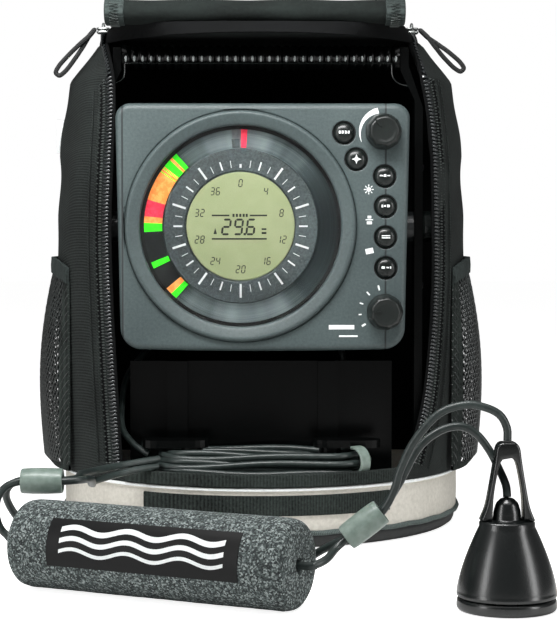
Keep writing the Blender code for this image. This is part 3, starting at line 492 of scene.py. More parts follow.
def makeLit(name, dark, light, strength):
    # a lit dial segment: streaked colour that also glows a little by itself
    material, tree, shader, place = startMaterial(name, Roughness=0.4, Emission_Strength=strength)
    streak = addNode(tree, "ShaderNodeTexNoise", {"Vector": place, "Scale": perMetre(1.0), "Detail": 3.0,
                                                  "Roughness": 0.55})
    addNode(tree, "ShaderNodeValToRGB", {"Fac": streak},
            into=(shader["Base Color"], shader["Emission Color"]), stops=((0.4, dark), (0.6, light)))
    return material


headPlastic = makeHeadPlastic()
speckledFoam = makeSpeckledFoam()
dialPrint = moulded("dialPrint", "#242c2d", "#525e5f", 0.7, 0.1, (0.36, 0.64), Roughness=0.6)
# Green-grey liquid crystal glass, faintly lit from behind
lcdGlass = moulded("lcdGlass", "#8f9a72", "#9ca57f", 6.0, 0.0, Roughness=0.3, Emission_Strength=0.13,
                   Emission_Color=linear("#bcc79a"))
litGreen = makeLit("litGreen", "#2fe018", "#3df524", 0.35)
litOrange = makeLit("litOrange", "#f08a3c", "#ffa65a", 0.3)
litRed = makeLit("litRed", "#d92a45", "#f24058", 0.3)

cadMaterials = {
    satinAbs: ("rear_housing",), gasketRubber: ("housing_gasket",), boardMask: ("main_board", "key_board"),
    motorSteel: ("disc_motor", "gain_pot", "range_pot"), batteryCase: ("battery",),
    glossAbs: ("shuttle_tray", "shuttle_panel", "handle_arm_left", "handle_arm_right", "cleat_left",
               "cleat_right"),
    clearAcrylic: ("window_lens",),
    satinRubber: ("transducer_plug", "power_plug", "tilt_knob_left", "tilt_knob_right"),
}
for material, names in cadMaterials.items():
    for name in names:
        node = bpy.data.objects[name]
        node.data.materials.clear()
        node.data.materials.append(material)
print("materials")


# cords
cordValues = {"diameter": 4.0, "sides": 14, "spacing": 2.0}
cableRoute = [
    (-59.8, -78.8, 50), (-70, -85, 49), (-82, -93, 47.8), (-92, -110, 47.6), (-96.5, -138, 49.5),
    (-97.5, -165, 52), (-96.5, -184, 53), (-98, -193, 53), (-104, -197.6, 53), (-114, -197.8, 53),
    (-125, -197.8, 53), (-132, -195.5, 49.5), (-134, -189, 42), (-129, -179.5, 30), (-117, -172, 17),
    (-100, -172, 7.5), (-70, -187, 3.2), (-32, -208, 3.0), (0, -229, 6.5), (17, -244, 16), (29, -257, 25.5),
    (39, -263.2, 32), (50, -263.8, 40), (58.8, -263.8, 46.8), (67.5, -263, 60), (76.4, -262.5, 76.4),
    (86.5, -262, 85), (97, -262, 87.7), (105, -262, 84), (111.5, -262.5, 76), (116, -265.5, 67),
    (118.6, -271, 60), (119, -273, 54.6)]
hangerRoute = [
    (-60.6, -79.6, 45.7), (-71, -87, 45.0), (-84, -97, 43), (-95, -120, 42), (-93, -140, 43.5),
    (-91, -165, 48), (-90.5, -185, 52), (-94, -198, 53.2), (-103.5, -202.2, 53), (-114, -202.3, 53),
    (-125, -202.3, 53), (-133, -203.5, 50), (-137, -205, 43), (-137, -204, 33), (-132.5, -203.2, 25.5),
    (-120.8, -209.1, 22.6), (-51, -245, 22.6), (18.8, -280.9, 22.6), (25.2, -284, 23.3), (31.5, -279, 25.4),
    (36, -271, 28.9), (41.3, -268.4, 33.3), (50, -268.4, 40), (58.8, -268.5, 46.8), (64.5, -268.8, 57),
    (67.5, -269.2, 67), (74.4, -270, 81.5), (86, -271, 94.6), (98, -272, 99), (107, -272.6, 98.2),
    (115, -273, 94.5), (118.7, -273, 88), (119, -273, 81.9)]
headLeadRoute = [
    (-30, 34.8, 168), (-30, 40, 168), (-32, 50, 164), (-40, 58, 150), (-58, 55, 125), (-76, 35, 104),
    (-84, 5, 92), (-85.5, -20, 78), (-84, -38, 64), (-76, -50, 55), (-66.3, -57, 50)]
powerLeadRoute = [
    (30, 34.8, 168), (30, 40, 168), (31.5, 49, 164), (37, 57, 150), (46, 62, 125), (53, 62, 105),
    (55, 60, 90), (55, 60, 78.3)]


def makeCord(name, path, node, bends=None, **facts):
    # the jacket is a round section carried along the path; a lead from the head, given its bend ends, is not
    # attached to any body and has its placement baked into its points
    diameter = cordValues["diameter"]
    piece = makePiece(name, [sweptPart(path, roundSection(diameter / 2, cordValues["sides"]))], cableJacket,
                      None if bends else "case", "cord_jacket", (node,))
    if bends:
        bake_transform(piece)
    return piece


windingValues = {"halfRun": 41.0, "centreY": -60.0, "radii": (14.2, 18.2, 22.0), "levels": (42.2, 46.6, 51.0),
                 "turns": 8, "wander": 1.5}


def windingPath():
    # racetrack turns round the two cleats: each turn keeps its own radius and level, and slides to the next
    v = windingValues
    perTurn = 48
    places = [(r, z) for z in v["levels"] for r in v["radii"]][:v["turns"]]
    share = np.arange(perTurn * v["turns"] + 1) / perTurn
    turn = np.minimum(share.astype(int), v["turns"] - 1)
    within = share - turn
    radius = np.array([p[0] for p in places] + [places[-1][0]])
    level = np.array([p[1] for p in places] + [places[-1][1]])
    slide = np.clip((within - 0.8) / 0.2, 0, 1) ** 2 * (3 - 2 * np.clip((within - 0.8) / 0.2, 0, 1))
    r = radius[turn] + (radius[turn + 1] - radius[turn]) * slide
    z = level[turn] + (level[turn + 1] - level[turn]) * slide
    z = z + v["wander"] * (np.sin(share * 9.1) + 0.6 * np.sin(share * 21.7 + 1.0)) * 0.7
    r = r + v["wander"] * np.sin(share * 13.3 + 0.7) * 0.6
    # the racetrack by angle: half circles at the ends, straight runs between them
    straight = 2 * v["halfRun"]
    bend = np.pi * r
    s = (within + 0.62) % 1.0 * (2 * straight + 2 * bend)
    rightAngle = (s - straight) / r - np.pi / 2
    leftAngle = (s - 2 * straight - bend) / r + np.pi / 2
    legs = [s < straight, s < straight + bend, s < 2 * straight + bend]
    x = np.select(legs, [s - v["halfRun"], v["halfRun"] + r * np.cos(rightAngle),
                         v["halfRun"] - (s - straight - bend)], -v["halfRun"] + r * np.cos(leftAngle))
    y = v["centreY"] + np.select(legs, [-r, r * np.sin(rightAngle), r], r * np.sin(leftAngle))
    return smoothRoute(np.stack([x, y, z], axis=1)[::-1], 2.5)


cablePath = smoothRoute(cableRoute, cordValues["spacing"])
hangerPath = smoothRoute(hangerRoute, cordValues["spacing"])
headPath = smoothRoute(headLeadRoute, cordValues["spacing"])
powerPath = smoothRoute(powerLeadRoute, cordValues["spacing"])
coilPath = windingPath()


# float, keepers and transducer
floatValues = {"centre": (-51.0, -245.0, 22.6), "half": 78.5, "radius": 22.5, "turn": math.radians(-27.2),
               "labelSpan": (-52.0, 56.0), "labelAngles": (-17.0, 46.0)}


def makeFloat():
    # a foam cylinder with soft ends; its skin swells and dips by a few tenths of a millimetre
    v = floatValues
    half, r = v["half"], v["radius"]
    profile = roundProfile([(2.9, half - 6), (2.9, half), (r - 6, half), (r - 1.2, half - 1.6), (r, half - 6),
                            (r, 0), (r, 6 - half), (r - 1.2, 1.6 - half), (r - 6, -half), (2.9, -half),
                            (2.9, 6 - half)], 3.0, 5)
    along = np.linspace(half - 7, 7 - half, 60)
    top = profile[profile[:, 1] > half - 7]
    bottom = profile[profile[:, 1] < 7 - half]
    profile = np.vstack([top, np.stack([np.full(60, r), along], axis=1), bottom])
    axis = (math.cos(v["turn"]), math.sin(v["turn"]), 0.0)
    part = turnedPart(profile, v["centre"], axis, 128,
                      lambda a, h: 1 + 0.004 * np.sin(7 * a + h * 0.21) * np.sin(h * 0.33 + 2 * a))
    return makePiece("foamFloat", [part], speckledFoam, "case", "float_foam", ("float",))


def floatPoint(along, angle, lift):
    # a place on the float's skin: along its axis, and round it from level towards the viewer
    v = floatValues
    axis = np.array([math.cos(v["turn"]), math.sin(v["turn"]), 0.0])
    out = np.array([math.sin(v["turn"]), -math.cos(v["turn"]), 0.0])
    radius = v["radius"] + lift
    along, angle = np.asarray(along)[..., None], np.asarray(angle)[..., None]
    upright = np.array([0, 0, 1.0])
    return np.array(v["centre"]) + along * axis + radius * (np.cos(angle) * out + np.sin(angle) * upright)


def labelPatch(spans, angles, lift, columns=24):
    # a thin patch that hugs the float, given by its span and its lower and upper angle at each column
    along = np.linspace(spans[0], spans[1], columns)
    share = np.linspace(0, 1, 12)
    low, high = (np.interp(along, np.linspace(spans[0], spans[1], len(a)), a) for a in angles)
    angle = np.radians(low[:, None] + (high - low)[:, None] * share[None, :])
    outer = floatPoint(np.broadcast_to(along[:, None], angle.shape), angle, lift)
    inner = floatPoint(np.broadcast_to(along[:, None], angle.shape), angle, lift - 0.35)
    ring = np.concatenate([outer, inner[:, ::-1]], axis=1)
    return gridPart(ring, wrapColumns=True, caps=True)


def makeFloatLabel():
    # black label with a plain white wave motif in place of any wording
    low, high = floatValues["labelAngles"]
    span = floatValues["labelSpan"]
    label = makePiece("floatLabel", [labelPatch(span, ((low, low), (high, high)), 0.45)],
                      moulded("labelVinyl", "#020303", "#060707", 2.0, 0.03, Roughness=0.5,
                              Specular_IOR_Level=0.25), "case", "boot_rubber")
    u = np.linspace(0, 1, 49)
    waves = []
    for lower, thick, start, end in ((27.0, 7.0, 0.07, 0.93), (13.0, 6.0, 0.07, 0.93),
                                     (0.5, 4.5, 0.07, 0.93)):
        centre = lower + 4.0 * np.sin(u * 6 * np.pi)
        waves.append(labelPatch((span[0] + (span[1] - span[0]) * start, span[0] + (span[1] - span[0]) * end),
                                (centre, centre + thick), 0.62, 120))
    motif = makePiece("floatMotif", waves, whiteInk, "case", "band_fabric")
    return [label, motif]


keeperValues = {"length": 22.0, "wide": 8.4, "high": 6.6, "left": (-114.0, -200.0, 53.0),
                "right": (50.0, -266.1, 40.0), "rightAxis": (0.79, 0.0, 0.61)}


def makeKeeper(name, centre, axis, node):
    # a short oval tube with rolled lips, open along its length for the two cords
    v = keeperValues
    axis = np.asarray(axis, float) / np.linalg.norm(axis)
    across = np.cross((0.0, 0.0, 1.0), axis)
    across /= np.linalg.norm(across)
    upward = np.cross(axis, across)
    half = v["length"] / 2
    loop = np.array([(1.0, -half + 1.6), (0.96, -half + 0.4), (0.88, -half), (0.78, -half + 0.5),
                     (0.72, -half + 2), (0.70, 0.0), (0.72, half - 2), (0.78, half - 0.5), (0.88, half),
                     (0.96, half - 0.4), (1.0, half - 1.6), (1.04, 0.0)])
    angle = np.linspace(0, 2 * np.pi, 48, endpoint=False)
    points = (np.asarray(centre) + loop[:, 0][:, None, None] * (
        v["wide"] * np.cos(angle)[None, :, None] * across + v["high"] * np.sin(angle)[None, :, None] * upward)
        + loop[:, 1][:, None, None] * axis)
    piece = makePiece(name, [gridPart(points, True, True)], keeperSilicone, "case", "keeper_silicone",
                      (node,))
    soft = piece.modifiers.new("soft", "SUBSURF")
    soft.levels = 1
    soft.render_levels = 1
    return piece


sonarValues = {"x": 119.0, "y": -273.0}


def makeTransducer():
    # base puck, convex cone with its cable gland, and the forked yoke that the hanger cord holds
    x, y = sonarValues["x"], sonarValues["y"]
    base = turnedPart(roundProfile([(0, 6.0), (23.2, 6.0), (24.2, 4.8), (24.3, 1.2), (23.4, 0.0), (0, 0.0)],
                                   0.8, 4),
                      (x, y, 0), (0, 0, 1), 128)
    basePiece = makePiece("sonarBase", [base], castUrethane, "case", "sonar_plastic", ("transducer_base",))
    height = np.linspace(8.5, 40.5, 26)
    share = (height - 8.5) / 32.0
    flank = np.stack([24.3 - 10.2 * share ** 1.45 - 0.6 * share, height], axis=1)[::-1]
    profile = np.vstack([
        roundProfile([(0, 54.2), (3.0, 54.0), (5.4, 51.6), (6.6, 47.6), (7.0, 43.4), (12.6, 43.2),
                      (13.5, 42.2)],
                     1.0, 4),
        flank, roundProfile([(24.35, 8.4), (24.3, 6.9), (23.6, 6.35), (0, 6.35)], 0.5, 3)])
    bodyPiece = makePiece("sonarBody", [turnedPart(profile, (x, y, 0), (0, 0, 1), 128)], castUrethane, "case",
                          "sonar_plastic", ("transducer_body",), smooth=50)
    right = [(7.6, 43.4), (6.9, 56.0), (4.6, 69.0), (2.6, 73.2), (0.0, 74.0)]
    inner = smoothRoute([(a, 0, b) for a, b in right], 1.5)[:, [0, 2]]
    outer = smoothRoute([(0.0, 0, 81.3), (3.6, 0, 81.1), (5.6, 0, 78.6), (6.6, 0, 72.0), (8.6, 0, 60.0),
                         (10.6, 0, 50.0), (13.2, 0, 43.4)], 1.5)[:, [0, 2]]
    half = np.vstack([outer, inner[:-1]])
    outline = np.vstack([half, (half * np.array([-1, 1]))[::-1][1:-1]])
    yoke = platePiece("sonarYoke", [outline + np.array([x, 0])], y - 5.5, y + 5.5, 1.3, castUrethane, "case",
                      slotName="sonar_plastic", replaced=("transducer_yoke",), smooth=50)
    return [basePiece, bodyPiece, yoke]


def makeWrapClip():
    # grey wrap clip round the winding at its right front: a bent band, open at the back
    angle = np.radians(np.linspace(-150, 100, 28))
    centre = np.array([56.0, -75.5, 48.0])
    outDirection = np.array([0.62, -0.78, 0.0])
    path = centre + 8.2 * (np.cos(angle)[:, None] * outDirection + np.sin(angle)[:, None]
                           * np.array([0, 0, 1.0]))
    section = np.array([(-3.2, -0.9), (3.2, -0.9), (3.6, 0), (3.2, 0.9), (-3.2, 0.9), (-3.6, 0)])
    part = sweptPart(path, section, up=tuple(outDirection))
    return makePiece("wrapClip", [part], keeperSilicone, "case", "keeper_silicone")


floatPiece = makeFloat()
labelPieces = makeFloatLabel()
keeperLeft = makeKeeper("keeperLeft", keeperValues["left"], (1, 0, 0), "keeper_left")
keeperRight = makeKeeper("keeperRight", keeperValues["right"], keeperValues["rightAxis"], "keeper_right")
sonarPieces = makeTransducer()
wrapClip = makeWrapClip()
makeCord("transducerCable", cablePath, "transducer_cable", far_end="object", stiffness="medium", lay="loose",
         with_pieces=[keeperLeft, keeperRight, *sonarPieces])
makeCord("hangerCord", hangerPath, "hanger_cord", far_end="object", stiffness="medium", lay="loose",
         with_pieces=[floatPiece, *labelPieces])
makeCord("cableWinding", coilPath, "cable_winding", far_end="object", stiffness="medium", lay="coiled",
         with_pieces=[wrapClip])
makeCord("headLead", headPath, "head_lead", ((-30, 44, 166), (-84, 5, 92)), far_end="object",
         stiffness="medium", lay="loose")
makeCord("powerLead", powerPath, "power_lead", ((30, 46, 165), (54, 61, 95)), far_end="object",
         stiffness="medium", lay="loose")
print("cords, float and transducer")


# the soft case
caseValues = {
    "levels": ((35.3, 126, -100, 100), (100, 128, -100, 100), (165, 129.5, -100, 100), (230, 128, -100, 100),
               (276, 121, -97, 97), (299, 104, -83, 88), (303, 98, -77, 82)),
    "ellipseY": 35.0, "rearCorner": 32.0, "openingFoot": 43.3, "openingTop": 300.5,
    "zipLeft": ((-97, 297), (-93, 285), (-90.5, 272), (-90, 250), (-91, 225), (-92.5, 180), (-90, 112),
                (-86, 46)),
    "zipRight": ((94, 297), (96, 289), (99, 276), (103, 255), (105.5, 225), (106.5, 160), (104.5, 116),
                 (100, 79), (91, 46)),
    "foldDepth": 1.5}


def levelAt(z):
    # half width, front and back of the case at a height
    levels = np.array(caseValues["levels"], float)
    return tuple(np.interp(z, levels[:, 0], levels[:, k]) for k in (1, 2, 3))


def zipAt(side, z):
    line = np.array(caseValues["zipLeft" if side < 0 else "zipRight"], float)[::-1]
    return float(np.interp(z, line[:, 1], line[:, 0]))


def contour(half, front, back, leftX=0.0, rightX=0.0):
    # outline seen from above, from leftX at the front round the left, back and right sides to rightX
    v = caseValues
    middle, r = v["ellipseY"], v["rearCorner"]
    a = np.linspace(2 * np.pi - math.acos(leftX / half), np.pi, 56)
    b = np.linspace(0, -math.acos(rightX / half), 56)
    c = np.linspace(np.pi, np.pi / 2, 14)[1:]
    d = np.linspace(np.pi / 2, 0, 14)[1:]
    side = np.linspace(middle, back - r, 12)[1:]
    across = np.linspace(r - half, half - r, 26)[1:]
    return np.concatenate([
        np.stack([half * np.cos(a), middle + (middle - front) * np.sin(a)], axis=1),
        np.stack([np.full(11, -half), side], axis=1),
        np.stack([r - half + r * np.cos(c), back - r + r * np.sin(c)], axis=1),
        np.stack([across, np.full(25, back)], axis=1),
        np.stack([half - r + r * np.cos(d), back - r + r * np.sin(d)], axis=1),
        np.stack([np.full(11, half), side[::-1]], axis=1),
        np.stack([half * np.cos(b), middle + (middle - front) * np.sin(b)], axis=1)])


def outward(line, closed=False):
    tangent = np.roll(line, -1, axis=0) - np.roll(line, 1, axis=0) if closed else np.gradient(line, axis=0)
    tangent /= np.maximum(1e-9, np.linalg.norm(tangent, axis=1)[:, None])
    return np.stack([-tangent[:, 1], tangent[:, 0]], axis=1)


def folds(line, z):
    # cloth folds: slow waves that lean with the side, fading at the zips, the pockets and the back
    x, y = line[:, 0], line[:, 1]
    wave = (np.sin(z / 13.0 + y / 21.0) + 0.8 * np.sin(z / 7.3 - y / 15.0 + 1.3) + 0.7
            * np.sin(y / 8.5 + z / 40.0))
    free = np.clip((z - 172) / 22, 0, 1) * np.clip((306 - z) / 16, 0, 1)
    below = np.clip((60 - z) / 20, 0, 1) * 0.3
    side = np.clip((np.abs(x) - 96) / 16, 0.12, 1)
    return caseValues["foldDepth"] * (free + below) * side * (0.45 * wave - 0.25)


def wallPart(outer, inner, rows):
    # the case's wall: open between the zips, from its foot to the opening's top
    rings = []
    for z in rows:
        half, front, back = levelAt(z)
        line = contour(half, front, back, zipAt(-1, z), zipAt(1, z))
        normal = outward(line)
        dent = folds(line, z)[:, None] * normal
        ring = np.concatenate([line + dent + outer * normal, (line + dent + inner * normal)[::-1]])
        rings.append(np.column_stack([ring, np.full(len(ring), z)]))
    return gridPart(np.array(rings), wrapColumns=True, caps=True)


def lidPart(lift):
    # the case's top: a shallow crown whose rim meets the wall all round
    rings = []
    for z, size, level in ((300.2, 1.0, 300.2), (301.6, 1.0, 301.6), (302.6, 0.99, 303), (303.2, 0.95, 303),
                           (303.6, 0.85, 303), (303.9, 0.6, 303), (304.0, 0.3, 303), (304.0, 0.01, 303),
                           (301.6, 0.01, 303), (301.4, 0.5, 303), (301.0, 0.9, 303), (300.2, 0.97, 300.2)):
        half, front, back = levelAt(level)
        line = contour(half, front, back)
        middle = np.array([0.0, (front + back) / 2])
        ring = middle + (line - middle) * size
        rings.append(np.column_stack([ring, np.full(len(ring), z + lift)]))
    return gridPart(np.array(rings), wrapRows=True, wrapColumns=True)


def frontPoint(x, z, out):
    # a place on the front of the case or its band, and how far it stands off the surface
    half, front, _ = levelAt(max(z, 35.3)) if z > 35.2 else (125.0, -99.5, 99.5)
    x = np.asarray(x, float)
    middle = caseValues["ellipseY"]
    y = middle - (middle - front) * np.sqrt(np.maximum(0.0, 1 - (x / half) ** 2))
    normal = np.stack([x / half ** 2, (y - middle) / (middle - front) ** 2], axis=-1)
    normal /= np.linalg.norm(normal, axis=-1)[..., None]
    return np.stack([x + out * normal[..., 0], y + out * normal[..., 1], np.full(x.shape, float(z))], axis=-1)


def frontStrip(startX, endX, lowZ, highZ, inner, outer, columns=70):
    # a strip of cloth that hugs the front, with soft edges
    x = np.linspace(startX, endX, columns)
    soft = 0.35 * (outer - inner)
    ring = [(lowZ, inner), (lowZ, outer - soft), (lowZ + soft, outer), ((lowZ + highZ) / 2, outer),
            (highZ - soft, outer), (highZ, outer - soft), (highZ, inner)]
    points = np.stack([frontPoint(x, z, out) for z, out in ring], axis=1)
    return gridPart(points, wrapColumns=True, caps=True)


caseRows = np.concatenate([np.linspace(35.4, 60, 10), np.linspace(63, 270, 74), np.linspace(273, 300.3, 14)])
caseShell = makePiece("caseShell", [wallPart(0.0, -2.4, caseRows), lidPart(0.0),
                                    frontStrip(-87, 92, 35.4, 43.3, -2.4, 0.0)],
                      twillNylon, "case", "case_fabric", ("case_body",), smooth=60)
caseLining = makePiece("caseLining", [wallPart(-2.5, -3.9, caseRows),
                                      frontStrip(-87, 92, 35.4, 43.0, -3.9, -2.5)],
                       blackLining, "case", "case_fabric", smooth=60)


def bandPart(section, wave=0.0):
    # a closed ring round the case: section points are (distance out of the band's outline, height)
    line = contour(125.0, -99.5, 99.5)
    keep = np.linalg.norm(line - np.roll(line, 1, axis=0), axis=1) > 1e-6
    line = line[keep]
    normal = outward(line, closed=True)
    run = np.arange(len(line))
    rings = [np.column_stack([line + out * normal, z + wave * np.sin(run * 0.9 + out)]) for out, z in section]
    return gridPart(np.array(rings), wrapRows=True, wrapColumns=True)


makePiece("baseBand", [bandPart([(-5.0, 8.4), (-0.6, 8.4), (0.0, 9.2), (0.25, 21.0), (0.1, 31.5),
                                 (-0.2, 32.6), (0.5, 33.2), (0.5, 34.6), (-0.4, 35.1), (-5.0, 35.1)])],
          coatedBand, "case", "band_fabric", ("base_band",), smooth=35)
makePiece("bandEdge", [bandPart([(0.4, 33.4), (1.1, 33.8), (1.1, 34.8), (0.3, 35.2), (-0.4, 34.8),
                                 (-0.4, 33.6)])],
          whiteInk, "case", "band_fabric")
pipingAngles = np.radians(np.arange(0, 360, 45))
pipingSection = list(zip(0.4 + 1.7 * np.cos(pipingAngles), 9.0 + 1.5 * np.sin(pipingAngles)))
makePiece("basePiping", [bandPart(pipingSection, 0.25)], pipingCord, "case", "webbing")


def bootPart():
    # moulded foot: a flat sole whose edge rolls up to the piping
    rings = []
    for z, inset in ((0.0, 4.2), (0.4, 2.4), (1.4, 1.0), (3.0, 0.3), (5.0, 0.0), (7.4, 0.0), (8.0, 0.7)):
        line = contour(124.0 - inset, -99.8 + inset, 100.0 - inset)[:-1]
        rings.append(np.column_stack([line, np.full(len(line), z)]))
    return gridPart(np.array(rings), wrapColumns=True, caps=True)


makePiece("baseBoot", [bootPart()], bootRubber, "case", "boot_rubber", ("base_boot",), smooth=50)
upperTape = makePiece("upperTape", [frontStrip(-79, 76, 35.9, 43.2, 0.05, 1.5)], loopPile, "case",
                      "loop_tape", ("loop_tape",))
lowerTape = makePiece("lowerTape", [frontStrip(-68, 75, 19.2, 31.0, 0.3, 1.5)], loopPile, "case", "loop_tape")


# zips, their sliders and the flap
zipValues = {"pitch": 2.2, "toothHalf": 2.3, "depth": 2.0}


def zipFrames(side, spacing=1.6, across=0.0, lift=0.0):
    # along a zip: its points, and the directions along it, across it towards the side, and off the cloth
    line = np.array(caseValues["zipLeft" if side < 0 else "zipRight"], float)
    flat = smoothRoute(np.stack([line[:, 0], np.zeros(len(line)), line[:, 1]], axis=1), spacing)
    path = np.array([frontPoint(x, z, -zipValues["depth"]) for x, z in flat[:, [0, 2]]])
    nearby = np.array([frontPoint(x, z, -zipValues["depth"] + 1.0) for x, z in flat[:, [0, 2]]])
    normal = nearby - path
    along = np.gradient(path, axis=0)
    along /= np.linalg.norm(along, axis=1)[:, None]
    towards = np.cross(along, normal) * -side
    towards /= np.linalg.norm(towards, axis=1)[:, None]
    return path + across * towards + lift * normal, along, towards, normal


def ribbonPart(frames, section):
    path, _, towards, normal = frames
    section = np.asarray(section, float)
    points = (path[:, None, :] + section[None, :, 0:1] * towards[:, None, :]
              + section[None, :, 1:2] * normal[:, None, :])
    return gridPart(points, wrapColumns=True, caps=True)


def scattered(basePoints, baseFaces, frames):
    # one small shape at every frame: its own points are (along, across, off the cloth)
    path, along, towards, normal = frames
    base = np.asarray(basePoints, float)
    points = (path[:, None, :] + base[None, :, 0:1] * along[:, None, :] + base[None, :, 1:2]
              * towards[:, None, :]
              + base[None, :, 2:3] * normal[:, None, :])
    count = len(base)
    faces = [[i + k * count for i in face] for k in range(len(path)) for face in baseFaces]
    return points.reshape(-1, 3), faces


def toothShape(half, thick, rise):
    # a bent bar of three hexagonal sections across the zip
    angle = np.radians(np.arange(0, 360, 60))
    rings = []
    for place, size, lift in ((-half, 0.75, 0.0), (-0.35 * half, 1.0, rise), (half, 0.7, 0.15)):
        rings.append(np.stack([size * thick * np.cos(angle), np.full(6, place),
                               lift + size * thick * np.sin(angle)],
                              axis=1))
    return gridPart(np.array(rings), wrapColumns=True, caps=True)


for side, tail in ((-1, "Left"), (1, "Right")):
    tape = zipFrames(side, 3.0)
    coilFrames = zipFrames(side, zipValues["pitch"], 0.3, 1.4)
    makePiece("zipTape" + tail, [ribbonPart(tape, [(-3.4, -0.4), (9.0, 0.6), (9.2, 1.6), (8.6, 2.1),
                                                   (-2.8, 1.0), (-3.6, 0.4)])], blackLining, "case",
                                                   "case_fabric")
    makePiece("zipCoil" + tail, [scattered(*toothShape(2.9, 0.92, 1.0), coilFrames)], coilNylon, "case",
              "zip_coil", ("zipper_" + tail.lower(),), smooth=60)
    makePiece("zipStitch" + tail, [
        scattered(*toothShape(1.0, 0.5, 0.3), zipFrames(side, 1.7, 5.0, 2.0)),
        scattered(*toothShape(0.5, 0.35, 0.1), zipFrames(side, 3.1, 8.0, 2.4))], stitchThread, "case",
        "zip_coil")
    foot = np.array([(-95.0 if side < 0 else 91.0), -24.5, 304.0])
    for k, across in enumerate((0.0, 3.4)):
        start = zipFrames(side, 3.0, across, 1.6)[0][:12]
        route = np.vstack([foot + np.array([side * 1.2 * k, 0, 0]),
                           (foot + start[0]) / 2 + np.array([side * 0.8, -1.0, 0.6]), start[::3]])
        makePiece("zipCord" + tail + str(k), [sweptPart(smoothRoute(route, 1.5), roundSection(1.15, 10))],
                  coilNylon, "case", "zip_coil")
    seam = zipFrames(side, 3.0, 16.0, 2.2)
    edge = zipFrames(side, 3.0, 9.6, 2.3)
    ring = roundSection(0.55, 6)
    makePiece("caseSeam" + tail, [ribbonPart(seam, ring), ribbonPart(edge, 1.6 * ring)], twillNylon, "case",
              "case_fabric")


def roundedRing(halfWide, halfDeep, corner, steps=5):
    # rounded rectangle about the origin
    points = []
    for sx, sy, start in ((1, 1, 0), (-1, 1, 90), (-1, -1, 180), (1, -1, 270)):
        angle = np.radians(np.linspace(start, start + 90, steps))
        points.append(np.stack([sx * (halfWide - corner) + corner * np.cos(angle),
                                sy * (halfDeep - corner) + corner * np.sin(angle)], axis=1))
    return np.concatenate(points)


def blockPart(low, high, corner, edge):
    # a block with round upright corners and softened top and bottom edges
    low, high = np.asarray(low, float), np.asarray(high, float)
    middle, half = (low + high) / 2, (high - low) / 2
    rings = []
    for z, inset in ((low[2], edge), (low[2] + 0.3 * edge, 0.3 * edge), (low[2] + edge, 0),
                     (high[2] - edge, 0), (high[2] - 0.3 * edge, 0.3 * edge), (high[2], edge)):
        ring = roundedRing(half[0] - inset, half[1] - inset, max(0.2, corner - inset))
        rings.append(np.column_stack([ring + middle[:2], np.full(len(ring), z)]))
    return gridPart(np.array(rings), wrapColumns=True, caps=True)


def sliderParts(x):
    # die-cast slider: a lower and an upper plate, the wedge between them, and a bridge over the top
    y, z = -20.0, 305.6
    arch = np.radians(np.linspace(0, 180, 13))
    bridge = np.stack([np.full(13, x), y + 4.6 * np.cos(arch), z + 0.6 + 3.2 * np.sin(arch)], axis=1)
    return [blockPart((x - 4, y - 6, z - 2), (x + 4, y + 6, z - 0.9), 2.6, 0.4),
            blockPart((x - 4, y - 6, z + 0.1), (x + 4, y + 6, z + 1.2), 2.6, 0.4),
            blockPart((x - 1.6, y - 5, z - 1.2), (x + 1.6, y + 1, z + 0.4), 1.2, 0.2),
            sweptPart(bridge, roundSection(0.8, 8), up=(1, 0, 0))]


def tabPart(x, side):
    # a long flat loop that hangs outwards from the slider, wider at its grip end and twisted a quarter turn
    hinge = np.array([x + side * 7, -18.0, 304.6])
    slope = math.radians(50 if side < 0 else 43)
    outDirection = np.array([side * math.cos(slope), 0, -math.sin(slope)])
    angle = np.linspace(0, 2 * np.pi, 60, endpoint=False)
    along = 15.8 - 17.8 * np.cos(angle)
    wide = (1.7 + 1.3 * np.clip((along - 14) / 14, 0,
                                1)) * np.sign(np.sin(angle)) * np.abs(np.sin(angle)) ** 0.45
    cross = np.cross(outDirection, (0, 1.0, 0))
    twist = math.pi / 2 * np.clip((along - 4) / 14, 0, 1)[:, None]
    spread = np.cos(twist) * np.array([0, 1.0, 0]) + np.sin(twist) * cross
    path = hinge + along[:, None] * outDirection + wide[:, None] * spread
    return sweptPart(path, roundSection(1.4, 8), up=tuple(cross), loop=True)


for side, tail, x in ((-1, "left", -96.0), (1, "right", 92.0)):
    name = tail.capitalize()
    makePiece("slider" + name, sliderParts(x), sliderZinc, "slider_" + tail, "zip_metal", ("slider_" + tail,))
    makePiece("pullTab" + name, [tabPart(x, side)], gasketRubber, "pull_tab_" + tail, "webbing",
              ("pull_tab_" + tail,))

rollValues = {"startX": -90.0, "endX": 83.0, "centreY": -62.0, "centreZ": 311.3, "deep": 11.0, "high": 7.6}


